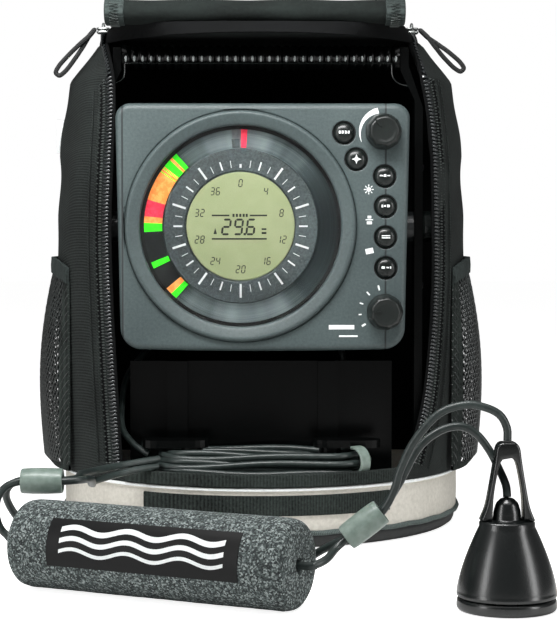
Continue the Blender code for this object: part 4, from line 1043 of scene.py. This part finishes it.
def rollPart(startX, endX, grow, columns, ripple=0.35):
    # the rolled flap: an oval roll, flatter below, with shallow rolls of cloth running round it
    v = rollValues
    x = np.linspace(startX, endX, columns)
    angle = np.linspace(0, 2 * np.pi, 72, endpoint=False)
    wave = ripple * np.sin(x[:, None] / 9.0 + 2 * np.sin(angle * 2)[None, :]) * np.sin(angle)[None, :]
    lap = 0.9 * np.exp(-((angle - 5.2) / 0.22) ** 2)[None, :]
    radius = 1 + (wave + lap + grow) / 9.0
    high = np.where(np.sin(angle) < 0, v["high"] * 0.86, v["high"])
    points = np.stack([np.broadcast_to(x[:, None], radius.shape),
                       v["centreY"] + v["deep"] * radius * np.cos(angle),
                       v["centreZ"] + high * radius * np.sin(angle)], axis=2)
    ends = []
    for column, direction in ((points[0], 1), (points[-1], -1)):
        middle = column.mean(axis=0)
        caps = [middle + (column - middle) * size + np.array([direction * dip, 0, 0])
                for size, dip in ((0.94, -0.5), (0.8, 0.3), (0.55, -0.2), (0.3, 0.6), (0.05, 0.5))]
        ends.append(caps)
    return gridPart(np.concatenate([np.array(ends[0][::-1]), points, np.array(ends[1])]), wrapColumns=True,
                    caps=True)


flapRoll = makePiece("flapRoll", [rollPart(rollValues["startX"] + 1, rollValues["endX"] - 1, 0.0, 90)],
                     fleece, "case", "case_fabric", ("flap_roll",), smooth=60)
for tail, start, end in (("Left", -91.0, -80.5), ("Right", 73.5, 84.0)):
    binding = makePiece("rollBinding" + tail, [rollPart(start, end, 0.9, 12, 0.2)], webbingTape, "case",
                        "webbing", smooth=60)
    angle = np.radians(np.arange(150, 330, 6.0))
    zig = start + 5.2 + 2.4 * (np.arange(len(angle)) % 2 * 2 - 1)
    thread = np.stack([zig, rollValues["centreY"] + 12.4 * np.cos(angle),
                       rollValues["centreZ"] + 8.8 * np.sin(angle) * np.where(np.sin(angle) < 0, 0.88, 1)],
                       axis=1)
    makePiece("rollStitch" + tail, [sweptPart(thread, roundSection(0.4, 6))], stitchThread, "case",
              "zip_coil")


def skirtPart():
    # black cloth from under the roll to the top edge of the opening, and out to both sliders
    x = np.linspace(-99, 96, 90)
    edge = frontPoint(np.clip(x, -99, 99), 298.2, 0.9)
    outer = np.clip((np.abs(x + 1.5) - 80) / 15, 0, 1) ** 1.5
    upper = np.stack([x * (1 - 0.03 * outer), -67 + 47 * outer, 306.2 - 2.6 * outer], axis=1)
    rows = []
    for share, puff in ((0.0, 0.0), (0.3, 0.9), (0.6, 1.2), (0.85, 0.6), (1.0, 0.0)):
        crease = 0.35 * puff * np.sin(x / 5.3 + 3 * share)
        rows.append(edge + (upper - edge) * share + np.column_stack([0 * x, -puff + crease,
                                                                     1.5 * puff + 0 * x]))
    front = np.array(rows)
    back = front[::-1] + np.array([0, 1.0, -0.5])
    points = np.concatenate([front, back]).transpose(1, 0, 2)
    return gridPart(points, wrapColumns=True, caps=True)


makePiece("flapSkirt", [skirtPart()], blackLining, "case", "case_fabric")
print("case, zips and flap")


# side pockets
pocketValues = {"foot": 36.5, "top": 158.0, "nearY": -24.0, "farY": 76.0, "bulge": 9.2, "cell": 4.2,
                "yarn": 0.5, "drop": 6.0}


def pocketPoint(side, share, z, out):
    # a place on the bulging pocket: fuller in its lower half and tucked in at its foot
    v = pocketValues
    share, z = np.broadcast_arrays(np.asarray(share, float), np.asarray(z, float))
    y = v["nearY"] + (v["farY"] - v["nearY"]) * share
    half, front = 129.5, -100.0
    middle = caseValues["ellipseY"]
    wall = np.where(y < middle, half * np.sqrt(np.maximum(0, 1 - ((middle - y) / (middle - front)) ** 2)),
                    half)
    tall = np.clip((z - v["foot"]) / (v["top"] - v["foot"]), 0, 1)
    full = 0.62 + 0.62 * np.sin(np.pi * np.clip(tall * 0.78 + 0.1, 0,
                                                1)) ** 1.2 - 0.16 * tall - 0.5 * tall ** 3
    gather = 0.25 * np.sin(share * 60) * tall
    bulge = v["bulge"] * np.sin(np.pi * np.clip(share, 0, 1)) ** 0.7 * full * np.clip(tall / 0.06 + 0.25, 0,
                                                                                      1)
    low = v["drop"] * np.clip(1 - share / 0.4, 0, 1) ** 2 * tall ** 2
    return np.stack([side * (wall + 0.8 + bulge + gather + out), y, z - low], axis=-1)


def meshParts(side):
    # two families of slanting yarns, drawn as thin three-sided tubes over the pocket's curve
    v = pocketValues
    wide = 118.0
    tall = v["top"] - v["foot"]
    parts = []
    rise = 1.35
    run = tall / rise
    for family, before, after in ((0, run, 0.0), (1, 0.0, run)):
        for offset in np.arange(-before, wide + after, v["cell"]):
            across = np.linspace(max(0.0, offset - after), min(wide, offset + before), 30)
            if across[-1] - across[0] < 2.0:
                continue
            z = v["foot"] + (across - offset) * (-rise if family else rise)
            path = pocketPoint(side, across / wide, np.clip(z, v["foot"], v["top"]), 0.5 if family else 0.0)
            parts.append(sweptPart(path, roundSection(v["yarn"], 3), up=(side, 0, 0)))
    return parts


def pocketBand(side, shareLow, shareHigh, zLow, zHigh, inner, outer, upright=False):
    # a hem or binding that follows the pocket
    rows = 60
    share = np.linspace(shareLow, shareHigh, rows)
    z = np.linspace(zLow, zHigh, rows)
    if upright:
        ring = [(shareLow, inner), (shareLow, outer), ((shareLow + shareHigh) / 2, outer), (shareHigh, outer),
                (shareHigh, inner)]
        points = np.stack([pocketPoint(side, np.full(rows, s), z, out) for s, out in ring], axis=1)
    else:
        ring = [(zLow, inner), (zLow, outer), ((zLow + zHigh) / 2, outer + 0.4), (zHigh, outer),
                (zHigh, inner)]
        points = np.stack([pocketPoint(side, share, np.full(rows, h), out) for h, out in ring], axis=1)
    return gridPart(points, wrapColumns=True, caps=True)


for side, tail in ((-1, "left"), (1, "right")):
    name = tail.capitalize()
    net = makePiece("pocketNet" + name, meshParts(side), knitMesh, "case", "mesh_fabric",
                    ("mesh_pocket_" + tail,))
    hem = makePiece("pocketHem" + name, [pocketBand(side, 0.0, 1.0, 157.0, 167.0, 0.0, 1.8)], webbingTape,
                    "case", "webbing", ("pocket_hem_" + tail,))
    makePiece("pocketBinding" + name, [pocketBand(side, 0.0, 0.07, 36.6, 157.0, -0.4, 0.9, True),
                                       pocketBand(side, 0.94, 1.0, 36.6, 157.0, -0.4, 0.9, True),
                                       pocketBand(side, 0.0, 1.0, 36.0, 40.0, -0.4, 1.0)],
              loopPile, "case", "webbing")
    total = sum(p.area for p in net.data.polygons) / 2
    print(net.name, "half its yarns' surface is", round(total, 5), "square metres")
makePiece("sideTag", [blockPart((-130.2, 30.0, 233.0), (-125.5, 31.4, 254.0), 0.5, 0.3)], whiteInk, "case",
          "band_fabric")
print("pockets")


# carrying shuttle
gripValues = {"half": 84.0, "radius": 8.0, "centre": (-25.0, 288.0), "pitch": 5.1, "groove": 1.3}


def gripParts():
    # a bar with a row of round ribs, plain at its ends
    v = gripValues
    along = np.linspace(-v["half"], v["half"], 34 * 12 + 1)
    ribs = np.abs(np.sin(np.pi * (along + v["pitch"] / 2) / v["pitch"])) ** 0.6
    ribs = np.where(np.abs(along) < v["half"] - 3, ribs, 1.0)
    radius = v["radius"] - v["groove"] * (1 - ribs)
    profile = np.vstack([[0, -v["half"]], np.column_stack([radius, along]), [0, v["half"]]])
    return [turnedPart(profile, (0, *v["centre"]), (1, 0, 0), 28)]


def glintBeadParts():
    # painted highlights: small light upright beads along the front of the bar, in place of its ribs' glints
    parts = []
    for x in (np.arange(33) - 16) * gripValues["pitch"]:
        bead = [(0, 1.9), (0.45, 1.6), (0.75, 0.8), (0.8, 0.0), (0.75, -0.8), (0.45, -1.6), (0, -1.9)]
        parts.append(turnedPart(bead, (x, -33.0, 287.2), (0, 0, 1), 8))
    return parts


def gripEdgeParts():
    # thin raised edge below the ribs, stepping down and outwards into both arms
    left = [(-91.5, -33.4, 272.0), (-86.5, -33.4, 273.0), (-83.2, -33.4, 275.4), (-82.4, -33.4, 279.0),
            (-82.3, -33.4, 283.6), (-80.8, -33.6, 284.4)]
    middle = [(x, -33.7, 284.4) for x in (-60, -20, 20, 60)]
    right = [(77.8, -33.6, 284.4), (79.0, -33.4, 283.4), (79.2, -33.4, 279.0), (80.4, -33.4, 275.0),
             (84.4, -33.4, 271.8), (91.5, -33.4, 270.6)]
    return [sweptPart(smoothRoute(left + middle + right, 1.5), roundSection(0.4, 6))]


# the beads' light colour is a painted highlight on the grip's ribs
makePiece("gripGlintBeads", glintBeadParts(), paintedGlintPlastic, "case", "shuttle_plastic")
makePiece("gripEdge", gripEdgeParts(), satinRubber, "case", "shuttle_plastic")
makePiece("gripBar", gripParts(), glossAbs, "case", "shuttle_plastic", ("grip_bar",), smooth=50)
print("shuttle")


# display head
headValues = {"centre": (1.0, 186.0), "half": (85.4, 72.3), "corners": (9.0, 12.0), "front": -67.2,
              "dialX": -12.0}
buttonPlaces = {"power": (47.8, 54.8), "zoom": (55.0, 39.3), "night": (71.8, 29.4), "palette": (72.3, 11.6),
                "reject": (72.4, -6.5), "mode": (72.6, -24.6)}
knobPlaces = {"gain": (71.0, 55.6), "range": (72.0, -50.5)}
dialCentre = (headValues["dialX"], 0.0, headValues["centre"][1])


def headOutline(inset):
    # the face: a rounded rectangle, a little narrower and softly bowed at its lower edge
    halfX, halfZ = headValues["half"]
    points = []
    for sx, sz, start, corner in ((1, 1, 0, headValues["corners"][0]), (-1, 1, 90, headValues["corners"][0]),
                                  (-1, -1, 180, headValues["corners"][1]),
                                  (1, -1, 270, headValues["corners"][1])):
        r = max(1.0, corner - inset)
        angle = np.radians(np.linspace(start, start + 90, 12))
        points.append(np.stack([sx * (halfX - inset - r) + r * np.cos(angle),
                                sz * (halfZ - inset - r) + r * np.sin(angle)], axis=1))
    ring = np.concatenate(points)
    closed = np.vstack([ring, ring[:1]])
    run = np.concatenate([[0], np.cumsum(np.linalg.norm(np.diff(closed, axis=0), axis=1))])
    want = np.unique(np.concatenate([run, np.linspace(0, run[-1], 80)]))[:-1]
    ring = np.stack([np.interp(want, run, closed[:, k]) for k in (0, 1)], axis=1)
    ring[:, 0] *= 1 + 0.018 * ring[:, 1] / halfZ
    ring[:, 1] -= 1.4 * (1 - (ring[:, 0] / halfX) ** 2) * (ring[:, 1] < -halfZ * 0.6)
    return ring + np.array(headValues["centre"])


def inPlane(flat, y):
    flat = np.asarray(flat, float)
    return np.stack([flat[:, 0], np.broadcast_to(y, len(flat)), flat[:, 1]], axis=1)


def facePart():
    # flat front with its holes, a rolled outer edge, and a short softened wall in every hole
    front = headValues["front"]
    outer = headOutline(4.0)
    holes = [(headValues["dialX"], headValues["centre"][1], 68.4, 96)]
    for x, z in buttonPlaces.values():
        holes.append((x + headValues["centre"][0], z + headValues["centre"][1], 6.9, 32))
    for x, z in knobPlaces.values():
        holes.append((x + headValues["centre"][0], z + headValues["centre"][1], 4.4, 24))
    rims = [circle(x, z, r + 0.9, steps) for x, z, r, steps in holes]
    loops = [outer, *rims]
    flat = np.concatenate(loops)
    triangles = tessellate_polygon([[Vector((p[0], p[1], 0)) for p in loop] for loop in loops])
    parts = [(inPlane(flat, front), [list(t) for t in triangles])]
    rows = []
    for inset, back in ((4.0, 0), (3.6, 0), (2.6, 0.15), (1.5, 0.6), (0.7, 1.4), (0.2, 2.5), (0.0, 4.0),
                        (0.0, 4.2), (3.0, 4.2)):
        rows.append(inPlane(headOutline(inset), front + back))
    parts.append(gridPart(np.array(rows), wrapColumns=True))
    for x, z, r, steps in holes:
        rows = [inPlane(circle(x, z, r + grow, steps), front + back)
                for grow, back in ((0.9, 0), (0.6, 0.02), (0.2, 0.25), (0.0, 0.7), (0.0, 4.2))]
        parts.append(gridPart(np.array(rows), wrapColumns=True))
    return parts


facePanel = makePiece("facePanel", facePart(), headPlastic, "head", "head_plastic", ("face_panel",),
                      smooth=32, closed=False)
bm = bmesh.new()
bm.from_mesh(facePanel.data)
bmesh.ops.recalc_face_normals(bm, faces=bm.faces)
front = max((f for f in bm.faces if abs(f.normal.y) > 0.99), key=lambda f: f.calc_area())
if front.normal.y > 0:
    bmesh.ops.reverse_faces(bm, faces=bm.faces)
bm.to_mesh(facePanel.data)
bm.free()

# window ring: rises from its groove, slopes inwards and drops to the dial
ringProfile = roundProfile([(68.2, 63.4), (68.2, 67.6), (67.4, 69.8), (66.0, 70.4), (60.6, 68.4),
                            (59.4, 67.4), (59.2, 63.6), (62.0, 63.4), (68.2, 63.4)], 0.9, 4)
makePiece("windowRing", [turnedPart(ringProfile, dialCentre, (0, -1, 0), 144)], headPlastic, "head",
          "housing_plastic", ("window_ring",), smooth=50)
grooveProfile = [(67.6, 63.0), (69.6, 63.0), (69.6, 66.2), (68.3, 66.4), (67.6, 66.2)]
makePiece("ringGroove", [turnedPart(grooveProfile, dialCentre, (0, -1, 0), 128)], gasketRubber, "head",
          "gasket_rubber")
# the flasher disc's colour holds a painted sheen
spunDiscPaintedSheen = makeDiscWithPaintedSheen(dialCentre)
discProfile = roundProfile([(0, 60.2), (40, 60.2), (57.4, 60.2), (57.8, 59.8), (57.8, 58.8), (40, 58.6),
                            (7, 58.6), (5, 55.3), (0, 55.3)], 0.4, 3)
makePiece("flasherDisc", [turnedPart(discProfile, dialCentre, (0, -1, 0), 128)], spunDiscPaintedSheen, "flasher_disc",
          "housing_plastic", ("flasher_disc",))
seatProfile = [(57.2, 62.2), (59.1, 62.2), (61.5, 63.0), (61.5, 61.8), (57.2, 61.6)]
makePiece("discSeat", [turnedPart(seatProfile, dialCentre, (0, -1, 0), 128)], gasketRubber, "head",
          "gasket_rubber")
dialProfile = roundProfile([(45.7, 63.3), (45.7, 64.2), (45.1, 64.7), (33.4, 64.7), (32.5, 64.2),
                            (32.3, 63.3), (45.7, 63.3)], 0.35, 3)
makePiece("dialPlate", [turnedPart(dialProfile, dialCentre, (0, -1, 0), 144)], dialPrint, "head",
          "dial_print", ("dial_plate",))
lcdProfile = roundProfile([(0, 64.3), (31.5, 64.3), (32.0, 63.8), (32.0, 60.9), (0, 60.9)], 0.3, 3)
makePiece("lcdModule", [turnedPart(lcdProfile, dialCentre, (0, -1, 0), 96)], lcdGlass, "head", "lcd_glass",
          ("lcd_module",))


def prismPart(flat, front, back):
    # a flat outline in the plane of the face, given a thickness
    flat = np.asarray(flat, float)
    return gridPart(np.array([inPlane(flat, front), inPlane(flat, back)]), wrapColumns=True, caps=True)


def aroundDial(angleDegrees, radius):
    # a place on the dial, its angle running clockwise from the top
    angle = np.radians(angleDegrees)
    return np.stack([dialCentre[0] + radius * np.sin(angle), dialCentre[2] + radius * np.cos(angle)], axis=-1)


def sectorPart(start, end, inner, outer, front, back):
    steps = max(3, int(abs(end - start) / 2) + 2)
    angle = np.linspace(start, end, steps)
    flat = np.vstack([aroundDial(angle, outer), aroundDial(angle[::-1], inner)])
    return prismPart(flat, front, back)


def barPart(x, z, wide, high, front, back):
    # a plain bar in the plane of the face, its middle at x, z
    corners = np.array([(-wide, -high), (wide, -high), (wide, high), (-wide, high)]) / 2
    return prismPart(np.array([x, z]) + corners, front, back)


# near and far depth of what is printed or lit on the dial, and the inner and outer radius of its echo ring
dialDepths = {"echo": (-60.9, -60.4), "gap": (-60.8, -60.35), "tick": (-64.95, -64.6),
              "reading": (-64.55, -64.2)}
echoRadii = (46.4, 58.6)
zeroSplit = 51.6

# lit echo bars of the dial, as angles anticlockwise from the top, with the colour of each
echoBars = ((41.6, 45, "green"), (45, 47, "orange"), (47, 52, "green"), (52, 52.9, "orange"),
            (52.9, 53.5, "green"), (53.5, 55.2, "orange"), (55.2, 55.8, "green"), (55.8, 74, "orange"),
            (74, 84, "red"), (84, 88, "orange"), (88, 93.5, "green"), (112, 116, "green"),
            (130, 134, "orange"), (134, 138, "green"))
for colour, material in (("green", litGreen), ("orange", litOrange), ("red", litRed)):
    parts = [sectorPart(-a, -b, *echoRadii, *dialDepths["echo"]) for a, b, kind in echoBars if kind == colour]
    if colour == "red":
        parts.append(sectorPart(0.2, 4.0, *echoRadii, *dialDepths["echo"]))
    makePiece("echo" + colour.capitalize(), parts, material, "head", "lcd_glass")
makePiece("zeroBarDark", [sectorPart(-6, -0.6, echoRadii[0], zeroSplit, *dialDepths["echo"])], dialPrint,
          "head", "dial_print")
makePiece("zeroBarLight", [sectorPart(-5.4, -0.6, zeroSplit, echoRadii[1], *dialDepths["echo"])], motorSteel,
          "head", "dial_print")
# dark sectors between the echo bars on the left: painted shade where the disc shows no sheen
makePiece("echoPaintedShade", [sectorPart(start, end, *echoRadii, *dialDepths["gap"])
                      for start, end in ((-93.6, -111.8), (-116.2, -129.8))], satinAbs, "head",
                      "housing_plastic")


def tickPart(angle, inner, outer, wide):
    middle = aroundDial(angle, 0.5 * (inner + outer))
    radial = np.array([math.sin(math.radians(angle)), math.cos(math.radians(angle))])
    across = np.array([radial[1], -radial[0]])
    half = 0.5 * (outer - inner)
    flat = [middle + radial * half + across * wide / 2, middle + radial * half - across * wide / 2,
            middle - radial * half - across * wide / 2, middle - radial * half + across * wide / 2]
    return prismPart(flat, *dialDepths["tick"])


ticks = []
for i in range(40):
    angle = 9.0 * i
    if i == 0:
        ticks.append(tickPart(angle, 34.4, 36.6, 1.3))
    elif i % 4 == 0:
        ticks.append(tickPart(angle, 34.0, 42.2, 1.25))
    elif i % 2 == 0:
        ticks.append(tickPart(angle, 34.4, 39.6, 0.95))
    else:
        ticks.append(tickPart(angle, 34.8, 39.0, 0.42))
makePiece("dialTicks", ticks, whiteInk, "head", "dial_print")

segmentBars = {"0": "abcdef", "1": "bc", "2": "abged", "3": "abgcd", "4": "fgbc", "5": "afgcd", "6": "afgecd",
               "7": "abc", "8": "abcdefg", "9": "abcdfg"}


def segmentPart(kind, x, z, wide, high, thick, slant=0.12):
    # one bar of a seven-bar figure whose middle is at x, z
    w, h, t, g = wide / 2, high / 2, thick / 2, thick * 0.12
    level = {"a": h, "g": 0.0, "d": -h}
    if kind in level:
        v = level[kind]
        flat = [(-w + g, v), (-w + t + g, v + t), (w - t - g, v + t), (w - g, v), (w - t - g, v - t),
                (-w + t + g, v - t)]
    else:
        u = w if kind in "bc" else -w
        low, high2 = (0.0, h) if kind in "bf" else (-h, 0.0)
        flat = [(u, low + g), (u + t, low + t + g), (u + t, high2 - t - g), (u, high2 - g),
                (u - t, high2 - t - g), (u - t, low + t + g)]
    flat = np.array(flat)
    flat[:, 0] += slant * flat[:, 1]
    return prismPart(flat + np.array([x, z]), *dialDepths["reading"])


def figureParts(text, x, z, wide, high, thick, pitch):
    # a row of seven-bar figures centred on x, z; a dot stands low between two figures
    parts = []
    figures = [c for c in text if c != "."]
    start = x - pitch * (len(figures) - 1) / 2
    place = -1
    for c in text:
        if c == ".":
            u = start + place * pitch + pitch / 2
            parts.append(barPart(u, z - high / 2 + thick * 0.05, thick * 1.2, thick * 1.1,
                                 *dialDepths["reading"]))
            continue
        place += 1
        parts.extend(segmentPart(kind, start + place * pitch, z, wide, high,
                                 thick) for kind in segmentBars[c])
    return parts


reading = figureParts("29.6", dialCentre[0] - 1.2, dialCentre[2] - 0.4, 4.3, 8.6, 1.2, 7.2)
for i in range(10):
    spot = aroundDial(36.0 * i, 25.4)
    reading.extend(figureParts(str(4 * i), spot[0], spot[1], 1.9, 4.2, 0.55, 3.2))
# marks of the reading, from the dial's middle: three lines, five cells, an arrow and a two-bar symbol
for u, v, wide, high in ((-11.8, 6.35, 10.4, 0.9), (10.5, 6.35, 10.2, 0.9), (-0.8, -7.45, 32.4, 0.9),
                         *((cell, 6.4, 1.2, 1.8) for cell in (-4.2, -2.2, -0.2, 1.8, 3.6)),
                         (13.8, 0.6 - 4.6, 2.8, 1.2), (13.8, 2.9 - 4.6, 2.8, 1.0)):
    reading.append(barPart(dialCentre[0] + u, dialCentre[2] + v, wide, high, *dialDepths["reading"]))
x, z = dialCentre[0] - 15.0, dialCentre[2] - 4.6
reading.append(prismPart([(x - 1.0, z), (x + 1.0, z), (x, z + 3.6)], *dialDepths["reading"]))
makePiece("lcdFigures", reading, darkInk, "head", "lcd_glass")


# buttons, knobs and printed marks
def markParts(kind, x, z, y):
    # a small plain mark printed on a button, in place of any wording
    def bar(u, v, w, h):
        return barPart(x + u, z + v, w, h, y, y + 0.9)
    if kind == "power":
        return [bar(u, 0.3, 1.1, 1.7) for u in (-2.6, -0.9, 0.9, 2.6)]
    if kind == "zoom":
        ring = [(x + r * math.cos(a), z + r * math.sin(a)) for a, r in
                [(math.radians(22.5 * i), 2.9 if i % 4 == 0 else 1.3) for i in range(16)]]
        return [prismPart(ring, y, y + 0.9)]
    if kind == "night":
        return [bar(-2.2, 0.3, 1.7, 0.7), bar(0.0, 0.3, 1.5, 1.5), bar(2.2, 0.3, 1.7, 0.7)]
    if kind == "palette":
        return [bar(-2.0, 0.3, 1.0, 1.5), bar(-0.4, 0.3, 1.0, 1.0), bar(1.5, 0.3, 1.6, 1.5)]
    if kind == "reject":
        return [bar(0.0, 0.9, 5.0, 0.6), bar(0.0, -0.3, 5.0, 0.6)]
    return [bar(-1.7, 0.3, 1.9, 1.4), bar(0.9, 0.3, 1.6, 0.7), bar(2.6, 0.3, 0.7, 1.4)]


for name, (u, v) in buttonPlaces.items():
    x, z = u + headValues["centre"][0], v + headValues["centre"][1]
    dome = roundProfile([(0, 69.7), (2.6, 69.55), (4.6, 68.9), (5.7, 67.7), (6.0, 66.6), (6.0, 62.8),
                         (0, 62.8)],
                        0.8, 3)
    makePiece("button" + name.capitalize(), [turnedPart(dome, (x, 0, z), (0, -1, 0), 48)], satinRubber,
              "button_" + name, "knob_rubber", ("button_" + name,), smooth=60)
    makePiece("mark" + name.capitalize(), markParts(name, x, z, -69.9), whiteInk, "button_" + name,
              "dial_print")
    cup = turnedPart([(6.3, 66.2), (6.85, 66.4), (6.85, 63.4), (6.3, 63.4)], (x, 0, z), (0, -1, 0), 48)
    makePiece("cup" + name.capitalize(), [cup], gasketRubber, "head", "gasket_rubber")


def knobParts(x, z, pointer):
    # a faceted cap: nine soft flats round its side, a rim, and a dished top with a pointer ridge
    profile = roundProfile([(0, 79.2), (5.6, 79.3), (7.6, 79.7), (9.0, 78.6), (10.0, 75.6), (10.5, 71.0),
                            (10.9, 68.0), (10.3, 67.5), (0, 67.5)], 0.8, 4)
    cap = turnedPart(profile, (x, 0, z), (0, -1, 0), 90,
                     lambda a, h: 1 - 0.055 * np.clip((h - 66) / 6, 0, 1) * np.clip((80.4 - h) / 2.0, 0, 1)
                     * (0.5 - 0.5 * np.cos(9 * a)) ** 0.6)
    ridge = np.radians(pointer)
    along = np.array([math.cos(ridge), math.sin(ridge)])
    across = np.array([-along[1], along[0]])
    flat = [np.array([x, z]) + along * a + across * b for a,
            b in ((3.2, 0.5), (8.2, 0.5), (8.2, -0.5), (3.2, -0.5))]
    return [cap], [prismPart(flat, -80.1, -79.0)]


for name, (u, v) in knobPlaces.items():
    x, z = u + headValues["centre"][0], v + headValues["centre"][1]
    cap, pointer = knobParts(x, z, 130 if name == "gain" else 175)
    makePiece(name + "Knob", cap, knobRubber, name + "_knob", "knob_rubber", (name + "_knob",), smooth=50)
    makePiece(name + "Pointer", pointer, knobRubber, name + "_knob", "dial_print")


def printedMarks():
    # white ink on the face: the gain wedge, three small pictures and the range ticks
    y0, y1 = headValues["front"] - 0.12, headValues["front"] + 0.3
    cx, cz = headValues["centre"]
    gx, gz = knobPlaces["gain"][0] + cx, knobPlaces["gain"][1] + cz
    parts = []
    angle = np.radians(np.linspace(104, 205, 26))
    thick = np.linspace(3.6, 0.3, 26)
    outer = np.stack([gx + 14.4 * np.cos(angle), gz + 14.4 * np.sin(angle)], axis=1)
    inner = np.stack([gx + (14.4 - thick) * np.cos(angle), gz + (14.4 - thick) * np.sin(angle)], axis=1)
    parts.append(prismPart(np.vstack([outer, inner[::-1]]), y0, y1))

    def block(x, z, wide, high, turn=0.0):
        t = math.radians(turn)
        flat = np.array([(-wide / 2, -high / 2), (wide / 2, -high / 2), (wide / 2, high / 2),
                         (-wide / 2, high / 2)])
        flat = flat @ np.array([[math.cos(t), math.sin(t)], [-math.sin(t), math.cos(t)]])
        parts.append(prismPart(flat + np.array([x, z]), y0, y1))
    sx, sz = 62.4, 21.6
    parts.append(prismPart(circle(cx + sx, cz + sz, 1.3, 20), y0, y1))
    for i in range(8):
        t = math.radians(45 * i)
        block(cx + sx + 2.3 * math.cos(t), cz + sz + 2.3 * math.sin(t), 1.2, 0.45, 45 * i)
    block(cx + 62.8, cz + 3.8, 4.4, 0.5)
    block(cx + 62.8, cz + 5.4, 2.2, 1.6)
    block(cx + 62.8, cz + 2.0, 3.0, 1.6)
    block(cx + 62.9, cz - 14.6, 4.6, 3.2, 12)
    rx, rz = knobPlaces["range"][0] + cx, knobPlaces["range"][1] + cz
    for turn, long, thick in ((104, 3.0, 1.0), (132, 2.6, 0.9), (160, 2.2, 0.8), (186, 1.8, 0.7),
                              (212, 2.6, 1.2)):
        t = math.radians(turn)
        block(rx + 14.6 * math.cos(t), rz + 14.6 * math.sin(t), long, thick, turn)
    block(cx + 46.5, cz - 59.5, 15.0, 2.6)
    block(cx + 50.5, cz - 64.8, 11.0, 1.0)
    return parts


makePiece("faceMarks", printedMarks(), whiteInk, "head", "dial_print")


# visible fasteners
def screwPart(x, y, z, axis, radius):
    # low domed screw head
    return turnedPart(roundProfile([(0, 1.4), (radius * 0.6, 1.3), (radius, 0.6), (radius, 0.0), (0, 0.0)],
                                   0.3, 3),
                      (x, y, z), axis, 24)


makePiece("armScrews", [screwPart(side * 98.1, -25.0, z, (side, 0, 0), 2.4) for side in (-1, 1)
                        for z in (150.0, 222.0)], motorSteel, "case", "motor_steel")
print("head")
